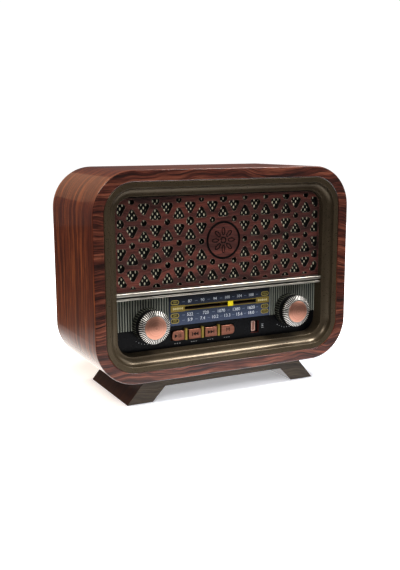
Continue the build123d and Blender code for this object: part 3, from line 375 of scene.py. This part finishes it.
def dial_paint():
    """Blue-grey paint with a painted shadow of the bars: darker towards the top, under them."""
    g = Graph("dial_blue")
    low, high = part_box("dial_plate")
    _, _, z = g.split(g.place)
    # Painted shadow of the bars: the paint darkens from the plate's lower edge to its upper edge.
    height = g.fit(z, low[2], high[2], 0.0, 1.0)
    grain = g.noise(g.place, (700, 700, 700), detail=2)
    cloud = g.noise(g.place, (30, 30, 30), detail=2)
    level = g.math("ADD", height, g.fit(cloud, 0, 1, -0.08, 0.08))
    colour = g.ramp(level, (0.05, tone("49536a")), (0.55, tone("353e50")), (0.95, tone("1c212c")))
    fleck = g.ramp(grain, (0.3, tone("d8dce4")), (0.7, WHITE))
    g.set(
        Base_Color=g.blend(0.7, colour, fleck, "MULTIPLY"),
        Roughness=g.fit(grain, 0.3, 0.7, 0.28, 0.42),
        Specular_IOR_Level=0.3,
        Coat_Weight=0.1,
        Coat_Roughness=0.12,
        Normal=g.bump(grain, 0.001 * MM),
    )
    return g.material


def weave(name, dark, light, pitch):
    """Plain woven threads in X and Z."""
    g = Graph(name)
    x, _, z = g.split(g.place)
    turn = 2 * math.pi / pitch
    warp = g.math("SINE", g.math("MULTIPLY", x, turn))
    weft = g.math("SINE", g.math("MULTIPLY", z, turn))
    height = g.math("MULTIPLY", warp, weft)
    stray = g.noise(g.place, (1500, 1500, 1500), detail=2)
    level = g.math("ADD", g.fit(height, -1, 1, 0.2, 0.8), g.fit(stray, 0, 1, -0.25, 0.25))
    g.set(
        Base_Color=g.ramp(level, (0.2, tone(dark)), (0.85, tone(light))),
        Roughness=0.85,
        Sheen_Weight=0.25,
        Sheen_Roughness=0.5,
        Normal=g.bump(level, 0.12 * MM),
    )
    return g.material


def thread(name, dark, light, painted_glow=0.0):
    """Twisted pale thread, with its strands running aslant; its optional glow is painted light, an
    emission that lifts it out of a deep recess.
    """
    g = Graph(name)
    strands = g.noise(g.place, (2600, 900, 1300), detail=2)
    g.set(
        Base_Color=g.ramp(strands, (0.25, tone(dark)), (0.6, tone(light))),
        Roughness=0.55,
        Emission_Color=tone(light),
        Emission_Strength=painted_glow,
        Sheen_Weight=0.3,
        Normal=g.bump(strands, 0.05 * MM),
    )
    return g.material


def rubber(name):
    """Dull black rubber or foam with some dust on it."""
    g = Graph(name)
    dust = g.noise(g.place, (500, 500, 500), detail=3)
    g.set(
        Base_Color=g.ramp(dust, (0.35, tone("141414")), (0.75, tone("2b2a29"))),
        Roughness=g.fit(dust, 0.3, 0.7, 0.75, 0.9),
        Normal=g.bump(dust, 0.03 * MM),
    )
    return g.material


def slot_material(name, knob_axis):
    """Make the material of one of the record's slots."""
    cabinet = ("2c140f", "5f2f23", "8f5540", "351c16")
    cabinet_side = ("3a160b", "68311e", "9a5a33")
    stand = ("40362a", "4b4032", "584c3c", "b0a698")
    # The stand's side walls get a darker palette than its front faces: painted shade.
    stand_shaded_side = ("2a130a", "3a1c0e", "472610")
    recipes = {
        "walnut_veneer": lambda: walnut(name, cabinet, cabinet_side, gloss=0.5),
        "walnut_fretwork": lambda: fretwork(name),
        "olive_bronze": lambda: moulded(name, "514737", "574c3b", 0.3, 900, 0.0, metallic=0.5),
        "black_board": lambda: moulded(name, "0c0c0c", "161514", 0.75),
        "fascia_black": lambda: moulded(name, "07080b", "0c0e12", 0.3, 500, 0.0, specular=0.2),
        "ribbed_grey": lambda: ribs(name),
        "dial_blue": dial_paint,
        "slot_gold": lambda: moulded(name, "7d6c2c", "a3904a", 0.35, 900, 0.006, metallic=0.5),
        "pointer_yellow": lambda: moulded(name, "d8c410", "efe02a", 0.32, 900, 0.004),
        "satin_bar": lambda: brushed(name, "a9a69c", "c6c3ba", 0.33, (12, 90, 90), 0.0),
        # Both knobs' teeth get painted shade in their grooves, and the black knob's grey crest tones are
        # a painted highlight.
        "knob_black": lambda: toothed(
            name, knob_axis, BODY_TEETH, BODY_GROOVES, 1.0, ("4a4d44", "62655a"), 0.3
        ),
        "knob_silver": lambda: toothed(
            name, knob_axis, RING_TEETH, RING_GROOVES, 0.0, ("d8d4cd", "f4f1ea"), 0.85
        ),
        "knob_copper": lambda: spun(name, "bf8a76", "d9a591", 0.36, knob_axis),
        "button_copper": lambda: brushed(name, "8a5c4c", "a97866", 0.38, (30, 500, 500), 0.001),
        "port_rose": lambda: moulded(name, "d8aa9a", "efcdc0", 0.35, 900, 0.0, metallic=0.25),
        "stand_brown": lambda: walnut(name, stand, stand_shaded_side, gloss=0.1),
        "pad_rubber": lambda: rubber(name),
        "steel": lambda: brushed(name, "8c8c8c", "b9b9b8", 0.32, (60, 900, 900)),
        "screw_black": lambda: moulded(name, "121212", "222222", 0.38, 1200, 0.01, metallic=0.8),
        "cloth_black": lambda: weave(name, "050505", "161613", THREAD_PITCH),
        "rear_plastic": lambda: moulded(name, "17130f", "221c17", 0.55, 1600, 0.06),
        "circuit_green": lambda: moulded(name, "0c3a1e", "17542c", 0.35, 300, 0.01, coat=0.3),
        "component_black": lambda: moulded(name, "0f0f10", "1b1b1c", 0.5, 1300, 0.03),
        "speaker_paper": lambda: moulded(name, "0f0f0f", "1d1c1b", 0.9, 700, 0.12),
        "speaker_foam": lambda: rubber(name),
        "ferrite": lambda: moulded(name, "1d1d20", "2d2d30", 0.6, 1500, 0.04),
        "coil_copper": lambda: brushed(name, "8c4420", "c97a45", 0.3, (4000, 60, 60), 0.05),
        "cell_blue": lambda: moulded(name, "173a72", "24519a", 0.3, 400, 0.005, metallic=0.3, coat=0.4),
        "antenna_chrome": lambda: brushed(name, "c8c8c8", "efefef", 0.1, (40, 1500, 1500), 0.002),
        "cord_braid": lambda: thread(name, "8f835c", "c9bd97"),
        "pulley_white": lambda: moulded(name, "c9c8c0", "dddcd5", 0.42, 900, 0.01),
    }
    return recipes[name]()


# ---------------------------------------------------------------- piece making

PILL_STEPS = 8
CORNER_STEPS = 4


def new_piece(name, bm, material, body):
    """Turn a bmesh into a piece that rides on a body."""
    bmesh.ops.recalc_face_normals(bm, faces=bm.faces)
    mesh = bpy.data.meshes.new(name)
    bm.to_mesh(mesh)
    bm.free()
    mesh.materials.append(material)
    piece = bpy.data.objects.new(name, mesh)
    bpy.context.scene.collection.objects.link(piece)
    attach(piece, body)
    return piece


def plate(bm, outline, front, back):
    """Add a thin plate with an X-Z outline."""
    near = [bm.verts.new((x, front, z)) for x, z in outline]
    far = [bm.verts.new((x, back, z)) for x, z in outline]
    bm.faces.new(near)
    bm.faces.new(reversed(far))
    for index in range(len(outline)):
        after = (index + 1) % len(outline)
        bm.faces.new((near[index], far[index], far[after], near[after]))


def hoop(bm, outer, inner, front, back):
    """Add a thin ring between two outlines with equal numbers of points."""
    loops = [
        [bm.verts.new((x, y, z)) for x, z in outline]
        for outline, y in ((outer, front), (inner, front), (inner, back), (outer, back))
    ]
    count = len(outer)
    for ring in range(4):
        first, second = loops[ring], loops[(ring + 1) % 4]
        for index in range(count):
            after = (index + 1) % count
            bm.faces.new((first[index], first[after], second[after], second[index]))


def bar(x, z, width, height):
    """Give the outline of a rectangle about a centre."""
    w, h = width / 2, height / 2
    return [(x - w, z - h), (x + w, z - h), (x + w, z + h), (x - w, z + h)]


def pill(x, z, width, height):
    """Give the outline of a slot with round ends."""
    radius = height / 2
    reach = width / 2 - radius
    points = []
    for side, start in ((1, -90), (-1, 90)):
        for step in range(PILL_STEPS + 1):
            angle = math.radians(start + 180 * step / PILL_STEPS)
            points.append((x + side * reach + radius * math.cos(angle), z + radius * math.sin(angle)))
    return points


def disc(x, z, radius, steps):
    """Give the outline of a circle."""
    turns = [2 * math.pi * step / steps for step in range(steps)]
    return [(x + radius * math.cos(turn), z + radius * math.sin(turn)) for turn in turns]


def letters(bm, words, size, x, z, front):
    """Add upright characters that face forwards, centred on a place."""
    curve = bpy.data.curves.new("characters", "FONT")
    curve.body = words
    curve.size = size
    curve.resolution_u = 3
    curve.extrude = INK / 2
    curve.align_x = "CENTER"
    curve.align_y = "CENTER"
    text = bpy.data.objects.new("characters", curve)
    bpy.context.scene.collection.objects.link(text)
    bpy.context.view_layer.update()
    mesh = bpy.data.meshes.new_from_object(text.evaluated_get(bpy.context.evaluated_depsgraph_get()))
    turn = Matrix.Rotation(math.pi / 2, 4, "X")
    mesh.transform(Matrix.Translation((x, front + INK / 2, z)) @ turn)
    bm.from_mesh(mesh)
    bpy.data.objects.remove(text)
    bpy.data.curves.remove(curve)
    bpy.data.meshes.remove(mesh)


# ---------------------------------------------------------------- grille cloth

CLOTH_CORNER = 14 * MM
CLOTH_THICKNESS = 0.2 * MM
CLOTH_DIP = 0.05 * MM
CLOTH_CELLS = (169, 65)
KNOT_PITCH = (4.4 * MM, 2.8 * MM)
KNOT_SIZE = (0.64 * MM, 1.32 * MM, 0.42 * MM)  # half width, half height and rise
KNOT_SIDES = 10
KNOT_LEVELS = ((0.0, 1.0), (0.55, 0.82), (0.9, 0.45))  # share of the rise and of the width
KNOT_MARGIN = 2 * MM
KNOT_TOP_MARGIN = 1.5 * MM
KNOT_WANDER = 0.12  # the lean, and in millimetres the shift, that a knot has at most


def cloth_half_width(z, half, top):
    """Give the cloth's half width at a height: its two upper corners are round."""
    start = top - CLOTH_CORNER
    if z <= start:
        return half
    return half - CLOTH_CORNER + math.sqrt(max(CLOTH_CORNER ** 2 - (z - start) ** 2, 0))


def grille_cloth(materials):
    """Make the woven cloth and the knots on it."""
    low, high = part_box("grille_cloth")
    half = high[0]
    columns, rows = CLOTH_CELLS
    bm = bmesh.new()
    grid = []
    for row in range(rows + 1):
        z = low[2] + (high[2] - low[2]) * row / rows
        wide = cloth_half_width(z, half, high[2])
        line = []
        for column in range(columns + 1):
            x = wide * (2 * column / columns - 1)
            dip = math.cos(math.pi * x / KNOT_PITCH[0]) * math.cos(math.pi * z / KNOT_PITCH[1])
            line.append(bm.verts.new((x, low[1] + CLOTH_THICKNESS + CLOTH_DIP * dip, z)))
        grid.append(line)
    for row in range(rows):
        for column in range(columns):
            below, above = grid[row], grid[row + 1]
            bm.faces.new((below[column], below[column + 1], above[column + 1], above[column]))
    cloth = new_piece("grille_cloth_weave", bm, materials["cloth_black"], "root")
    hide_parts("grille_cloth")
    thick = cloth.modifiers.new("thickness", "SOLIDIFY")
    thick.thickness = CLOTH_THICKNESS
    thick.offset = -1
    # The knots' thread glows: painted light that brightens them in the shade of the holes.
    pale = thread("cloth_knot_thread", "a8a380", "fbf6da", painted_glow=0.22)
    knots = new_piece("grille_cloth_knots", cloth_knots(low, high), pale, "root")
    for face in knots.data.polygons:
        face.use_smooth = True


def cloth_knots(low, high):
    """Make the raised oval knots, in rows that are offset by half a pitch."""
    bm = bmesh.new()
    step_x, step_z = KNOT_PITCH
    face = low[1] + CLOTH_THICKNESS
    row = 0
    z = low[2] + KNOT_MARGIN
    while z < high[2] - KNOT_TOP_MARGIN:
        limit = cloth_half_width(z, high[0], high[2]) - KNOT_MARGIN
        count = int(limit / step_x)
        for column in range(-count - 1, count + 1):
            x = (column + 0.5 * (row % 2)) * step_x
            if abs(x) <= limit:
                knot(bm, x, face, z)
        z += step_z
        row += 1
    return bm


def knot(bm, x, face, z):
    """Add one closed knot with a size, lean and shift of its own."""
    wide, tall, proud = KNOT_SIZE
    size = random.uniform(0.88, 1.1)
    lean = random.uniform(-KNOT_WANDER, KNOT_WANDER)
    x += random.uniform(-KNOT_WANDER, KNOT_WANDER) * MM
    rings = []
    for level, share in KNOT_LEVELS:
        ring = []
        for side in range(KNOT_SIDES):
            turn = 2 * math.pi * side / KNOT_SIDES
            dx = wide * size * share * math.cos(turn)
            dz = tall * size * share * math.sin(turn)
            ring.append(bm.verts.new((x + dx + lean * dz, face - proud * level, z + dz)))
        rings.append(ring)
    tip = bm.verts.new((x, face - proud, z))
    bm.faces.new(reversed(rings[0]))
    for side in range(KNOT_SIDES):
        after = (side + 1) % KNOT_SIDES
        for lower, upper in zip(rings, rings[1:]):
            bm.faces.new((lower[side], lower[after], upper[after], upper[side]))
        bm.faces.new((rings[-1][side], rings[-1][after], tip))


# ---------------------------------------------------------------- dial printing

FM_NUMBERS = ("87", "90", "94", "100", "104", "108")
AM_NUMBERS = ("522", "720", "1070", "1380", "1620")
SW_NUMBERS = ("5.9", "7.4", "10.2", "13.3", "15.6", "18.0")
DIAL_ROWS = (  # band, unit, numbers, rise above the slot and size of the digits
    ("FM", "MHz", FM_NUMBERS, 5.9 * MM, 3.9 * MM),
    ("AM", "kHz", AM_NUMBERS, -6.4 * MM, 4.3 * MM),
    ("SW", "MHz", SW_NUMBERS, -11.4 * MM, 4.3 * MM),
)
DIAL_REACH = 32.4 * MM
DASH_SIZE = (2.6 * MM, 0.35 * MM)
DASH_GAP = 6.6 * MM  # from an outer number to the dash beyond it
BADGE_X = 47.7 * MM
BADGE_SIZE = (8.4 * MM, 4.2 * MM)
BADGE_RIM = 0.6 * MM
UNIT_SIZE = 2.5 * MM
TICK_PITCH = 1.3 * MM
TICK_WIDTH = 0.5 * MM
TICK_HEIGHTS = (1.0 * MM, 1.7 * MM)
TICK_MARGIN = (2 * MM, 0.5 * MM)  # from the dial's ends and from its upper edge
STROKE_HEIGHTS = (2.2, 1.3, 1.7, 1.3, 2.2, 1.3, 1.7, 1.3, 2.2)  # in millimetres
STROKE_PITCH = 1.15 * MM
STROKE_WIDTH = 0.55 * MM
STROKE_INSET = 7.1 * MM
SLIT_INSET = 14.6 * MM
SLIT_BAND = (1.32 * MM, 0.64 * MM)  # its distance from the slot's middle and its height
SLIT_BAND_RISE = 0.3 * MM


def spread(count, reach):
    """Give evenly spaced places from -reach to reach."""
    return [reach * (2 * index / (count - 1) - 1) for index in range(count)]


def dial_printing():
    """Print the three rows of numbers with their dashes and badges, the ticks and the slot's marks."""
    slot = middle("pointer_slot_frame").z
    face = front_of("dial_plate") - INK
    digits = bmesh.new()
    dashes = bmesh.new()
    hoops = bmesh.new()
    fields = bmesh.new()
    units = bmesh.new()
    for band, unit, numbers, rise, size in DIAL_ROWS:
        z = slot + rise
        places = spread(len(numbers), DIAL_REACH)
        for x, number in zip(places, numbers):
            letters(digits, number, size, x, z, face)
        gaps = [(a + b) / 2 for a, b in zip(places, places[1:])]
        gaps += [places[0] - DASH_GAP, places[-1] + DASH_GAP]
        for x in gaps:
            plate(dashes, bar(x, z, *DASH_SIZE), face, face + INK)
        for x, word in ((-BADGE_X, band), (BADGE_X, unit)):
            wide, tall = BADGE_SIZE
            outer = pill(x, z, wide, tall)
            inner = pill(x, z, wide - 2 * BADGE_RIM, tall - 2 * BADGE_RIM)
            hoop(hoops, outer, inner, face, face + INK)
            plate(fields, inner, face + INK / 2, face + INK)
            letters(units, word, UNIT_SIZE, x, z, face - INK / 2)
    ink = moulded("ink_white", "c3cbd4", "eef2f4", 0.5, 1500, 0.004)
    faint = moulded("ink_grey", "6f7c90", "8b98aa", 0.5, 1500, 0.004)
    gold = moulded("ink_gold", "9c8a3c", "c9b95e", 0.4, 1200, 0.006, metallic=0.35)
    field = moulded("ink_brown", "2a2610", "3a3416", 0.5, 1200, 0.004)
    new_piece("dial_numbers", digits, ink, "root")
    new_piece("dial_dashes", dashes, faint, "root")
    new_piece("dial_badge_rings", hoops, gold, "root")
    new_piece("dial_badge_fields", fields, field, "root")
    new_piece("dial_badge_letters", units, gold, "root")
    dial_ticks(face)
    slot_ends()
    slot_floor()


def dial_ticks(face):
    """Add the row of dark ticks of uneven length along the dial's upper edge."""
    _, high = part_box("dial_plate")
    end_margin, top_margin = TICK_MARGIN
    bm = bmesh.new()
    count = int((high[0] - end_margin) / TICK_PITCH)
    for index in range(-count, count + 1):
        tall = TICK_HEIGHTS[index % 5 == 0]
        z = high[2] - top_margin - tall / 2
        plate(bm, bar(index * TICK_PITCH, z, TICK_WIDTH, tall), face, face + INK)
    dark = moulded("ink_black", "0b0d12", "12151b", 0.5, 1500, 0.004)
    new_piece("dial_ticks", bm, dark, "root")


def slot_ends():
    """Add short strokes of uneven height on the plates at the slot's two ends."""
    low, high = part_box("pointer_slot_frame")
    z = (low[2] + high[2]) / 2
    face = low[1] - INK
    bm = bmesh.new()
    for side in (-1, 1):
        centre = side * (high[0] - STROKE_INSET)
        for index, height in enumerate(STROKE_HEIGHTS):
            x = centre + (index - (len(STROKE_HEIGHTS) - 1) / 2) * STROKE_PITCH
            plate(bm, bar(x, z, STROKE_WIDTH, height * MM), face, face + INK)
    pale = moulded("ink_cream", "d9d09a", "f1e9bd", 0.45, 1200, 0.004)
    new_piece("slot_end_strokes", bm, pale, "root")


def slot_floor():
    """Line the pointer's slot with a dark red-brown band above and below its slit."""
    low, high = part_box("pointer_slot_frame")
    z = (low[2] + high[2]) / 2
    reach = high[0] - SLIT_INSET
    depth = front_of("fascia_panel")
    offset, tall = SLIT_BAND
    bm = bmesh.new()
    for side in (-1, 1):
        plate(bm, bar(0, z + side * offset, 2 * reach, tall), depth - SLIT_BAND_RISE, depth)
    brown = moulded("slot_brown", "2c130c", "45200f", 0.45, 900, 0.01)
    new_piece("slot_lining", bm, brown, "root")


# ---------------------------------------------------------------- front marks


SYMBOLS = {  # in millimetres: places of the triangles, the way they point, and places of the strokes
    "play_button": ((-2.1,), 1, (0.6, 2.4)),
    "previous_button": ((-0.8, 2.0), -1, (-2.7,)),
    "next_button": ((-2.0, 0.8), 1, (2.7,)),
}
TRIANGLE_SIZE = (3.19 * MM, 3.48 * MM)
SYMBOL_STROKE = (0.8 * MM, 3.5 * MM)
MODE_LETTER_SIZE = 5.4 * MM
DOT_GAP = 3.4 * MM  # from a knob's edge to its arc of dots
DOT_STEP = 9  # degrees
DOTS_EACH_WAY = 4
DOT_RADIUS = 0.35 * MM
DOT_GROWTH = 0.04 * MM
DOT_SIDES = 10
KEY_DASH = (1.4 * MM, 0.45 * MM)
KEY_DASH_PITCH = 2.4 * MM
KEY_DASH_DROP = 1.6 * MM
PORT_DASH = (2.2 * MM, 0.45 * MM)
PORT_DASH_PITCH = 1.6 * MM
PORT_DASH_REACH = 8.6 * MM
SLEEVE_SIZE = (9.4 * MM, 12.1 * MM)
SLEEVE_WALL = 0.2 * MM
SLEEVE_CORNER = 1.0 * MM
SLEEVE_DEPTHS = (0.4 * MM, 0.3 * MM)  # behind the panel's face and before the port's


def triangle(x, z, way):
    """Give a triangle that points left (-1) or right (1)."""
    half, rise = TRIANGLE_SIZE[0] / 2, TRIANGLE_SIZE[1] / 2
    return [(x - way * half, z - rise), (x + way * half, z), (x - way * half, z + rise)]


def button_symbols():
    """Mark three keys with triangles and strokes, and the last one with a letter."""
    dark = moulded("symbol_dark", "0d0706", "150c0a", 0.6, 300, 0.001, specular=0.2)
    for name, body in KEY_BODIES.items():
        centre = middle(name)
        face = front_of(name)
        triangles, way, strokes = SYMBOLS.get(name, ((), 1, ()))
        bm = bmesh.new()
        for place in triangles:
            plate(bm, triangle(centre.x + place * MM, centre.z, way), face - INK, face)
        for place in strokes:
            plate(bm, bar(centre.x + place * MM, centre.z, *SYMBOL_STROKE), face - INK, face)
        if name == "mode_button":
            letters(bm, "M", MODE_LETTER_SIZE, centre.x, centre.z, face - INK)
        new_piece(name + "_symbol", bm, dark, body)


def front_marks():
    """Add the small pale marks below each knob and button and beside the port."""
    face = front_of("fascia_panel")
    bm = bmesh.new()
    for knob in ("volume_knob_body", "tuning_knob_body"):
        centre = middle(knob)
        low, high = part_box(knob)
        radius = (high[0] - low[0]) / 2 + DOT_GAP
        for step in range(-DOTS_EACH_WAY, DOTS_EACH_WAY + 1):
            angle = math.radians(-90 + DOT_STEP * step)
            size = DOT_RADIUS + DOT_GROWTH * (step + DOTS_EACH_WAY)
            place = (centre.x + radius * math.cos(angle), centre.z + radius * math.sin(angle))
            plate(bm, disc(*place, size, DOT_SIDES), face - INK, face)
    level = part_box("play_button")[0][2] - KEY_DASH_DROP
    port = middle("usb_port")
    for place in (-1, 0, 1):
        for name in KEY_BODIES:
            x = middle(name).x + place * KEY_DASH_PITCH
            plate(bm, bar(x, level, *KEY_DASH), face - INK, face)
        z = port.z + place * PORT_DASH_PITCH
        plate(bm, bar(port.x + PORT_DASH_REACH, z, *PORT_DASH), face - INK, face)
    grey = moulded("mark_grey", "a8adb0", "cdd1d2", 0.5, 1200, 0.004)
    new_piece("front_marks", bm, grey, "root")


def port_lining():
    """Line the port's recess with a thin maroon sleeve."""
    port = middle("usb_port")
    front = front_of("fascia_panel") + SLEEVE_DEPTHS[0]
    back = front_of("usb_port") - SLEEVE_DEPTHS[1]

    def outline(wall):
        w, h = (size / 2 - wall for size in SLEEVE_SIZE)
        r = SLEEVE_CORNER
        points = []
        for sx, sz, start in ((1, 1, 0), (-1, 1, 90), (-1, -1, 180), (1, -1, 270)):
            for step in range(CORNER_STEPS + 1):
                angle = math.radians(start + 90 * step / CORNER_STEPS)
                x = port.x + sx * (w - r) + r * math.cos(angle)
                z = port.z + sz * (h - r) + r * math.sin(angle)
                points.append((x, z))
        return points

    bm = bmesh.new()
    hoop(bm, outline(0), outline(SLEEVE_WALL), front, back)
    maroon = moulded("port_maroon", "3d1713", "5a231c", 0.4, 900, 0.01)
    new_piece("port_lining", bm, maroon, "root")


# ---------------------------------------------------------------- scene


def dress_cad(materials):
    """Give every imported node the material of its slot."""
    slots = {part["node"]: part["material_slot"] for part in frame["record"]["subparts"]}
    for name, node in frame["nodes"].items():
        for holder in node.material_slots:
            holder.material = materials[slots[name]]


VIEW_GAMMA = 0.88
CAMERA_PLACE = (-0.3516, -0.6917, 0.2323)
CAMERA_YAW = -26.88
CAMERA_DOWN = 10.12
CAMERA_ROLL = -0.24
CAMERA_LENS = 50.9
CAMERA_SENSOR = 36.0
FLOOR_RADIUS = 1.6
FLOOR_CLEAR = (0.13, 0.36)  # distances from the middle over which the floor changes
FLOOR_TONES = ("e6edf6", "eaf0f8")
FLOOR_FAR_TONE = "3a3230"
FLOOR_GLOW_SEEN = (0.31, 1.0)  # near and far, as the camera sees it
FLOOR_GLOW_AROUND = (0.6, 0.0)  # near and far, as reflections see it
BACKDROP = ((1, 1, 1, 1), 1.05)
SURROUNDINGS = ((0.93, 0.95, 1, 1), 0.13)
LAMPS = (  # name, place, target, size, power and colour
    ("key_light", (-0.9, -1.3, 1.3), (0, 0, 0.1), 0.7, 15.5, (1, 0.97, 0.94)),
    ("top_light", (-0.75, 0.3, 1.05), (-0.05, 0, 0.12), 0.6, 15, (1, 0.80, 0.60)),
    ("right_light", (1.3, -1.0, 0.9), (0, 0, 0.1), 0.8, 7, (1, 0.99, 0.98)),
    ("back_light", (-0.25, 1.25, 0.62), (-0.1, 0, 0.18), 0.6, 0.6, (1, 0.62, 0.36)),
    ("overhead_light", (0.55, -0.35, 1.05), (0, 0, 0.1), 0.35, 15, (1, 0.97, 0.95)),
)


def floor():
    """Lay the pale floor, which is darker far out to reflections and brighter to the camera."""
    bm = bmesh.new()
    bmesh.ops.create_circle(bm, cap_ends=True, radius=FLOOR_RADIUS, segments=96)
    mesh = bpy.data.meshes.new("floor")
    bm.to_mesh(mesh)
    bm.free()
    g = Graph("floor_white")
    grain = g.noise(g.place, (4, 4, 4), detail=2)
    distance = g.node("VectorMath", {0: g.place}, operation="LENGTH").outputs["Value"]
    far = g.fit(distance, *FLOOR_CLEAR, 0.0, 1.0)
    seen = g.node("LightPath", {}).outputs["Is Camera Ray"]
    lit = g.fit(far, 0, 1, *FLOOR_GLOW_SEEN)
    around = g.fit(far, 0, 1, *FLOOR_GLOW_AROUND)
    pale = g.ramp(grain, (0.3, tone(FLOOR_TONES[0])), (0.7, tone(FLOOR_TONES[1])))
    fade = g.math("MULTIPLY", far, g.math("SUBTRACT", 1.0, seen))
    g.set(Base_Color=g.blend(fade, pale, tone(FLOOR_FAR_TONE)), Roughness=0.8)
    g.set(Emission_Color=WHITE, Emission_Strength=g.fit(seen, 0, 1, around, lit))
    mesh.materials.append(g.material)
    ground = bpy.data.objects.new("floor", mesh)
    bpy.context.scene.collection.objects.link(ground)


def surroundings():
    """Make a white backdrop for the camera and a dimmer world for light and reflections."""
    world = bpy.data.worlds.new("studio")
    bpy.context.scene.world = world
    world.use_nodes = True
    tree = world.node_tree
    tree.nodes.clear()
    output = tree.nodes.new("ShaderNodeOutputWorld")
    mix = tree.nodes.new("ShaderNodeMixShader")
    rays = tree.nodes.new("ShaderNodeLightPath")
    tree.links.new(rays.outputs["Is Camera Ray"], mix.inputs[0])
    for place, (colour, strength) in enumerate((SURROUNDINGS, BACKDROP)):
        background = tree.nodes.new("ShaderNodeBackground")
        background.inputs[0].default_value = colour
        background.inputs[1].default_value = strength
        tree.links.new(background.outputs[0], mix.inputs[place + 1])
    tree.links.new(mix.outputs[0], output.inputs[0])


def lamp(name, place, target, size, power, colour):
    """Hang a square soft light that looks at a target."""
    data = bpy.data.lights.new(name, "AREA")
    data.shape = "RECTANGLE"
    data.size = size
    data.size_y = size
    data.energy = power
    data.color = colour
    light = bpy.data.objects.new(name, data)
    light.location = place
    aim = Vector(target) - Vector(place)
    light.rotation_euler = aim.to_track_quat("-Z", "Y").to_euler()
    bpy.context.scene.collection.objects.link(light)


def camera():
    """Place the camera, which looks at the front from its left and a little from above."""
    data = bpy.data.cameras.new("camera")
    data.lens = CAMERA_LENS
    data.sensor_width = CAMERA_SENSOR
    view = bpy.data.objects.new("camera", data)
    angles = zip((CAMERA_YAW, 90 - CAMERA_DOWN, CAMERA_ROLL), "ZXZ")
    yaw, pitch, roll = (Matrix.Rotation(math.radians(angle), 4, axis) for angle, axis in angles)
    view.matrix_world = Matrix.Translation(CAMERA_PLACE) @ yaw @ pitch @ roll
    bpy.context.scene.collection.objects.link(view)
    bpy.context.scene.camera = view


def main():
    knob_axis = middle("tuning_knob_cap")
    slots = [entry["slot"] for entry in frame["record"]["materials"]]
    materials = {name: slot_material(name, knob_axis) for name in slots}
    dress_cad(materials)
    grille_cloth(materials)
    dial_printing()
    button_symbols()
    front_marks()
    port_lining()
    floor()
    surroundings()
    for entry in LAMPS:
        lamp(*entry)
    camera()
    bpy.context.scene.view_settings.view_transform = "Standard"
    bpy.context.scene.view_settings.gamma = VIEW_GAMMA


main()
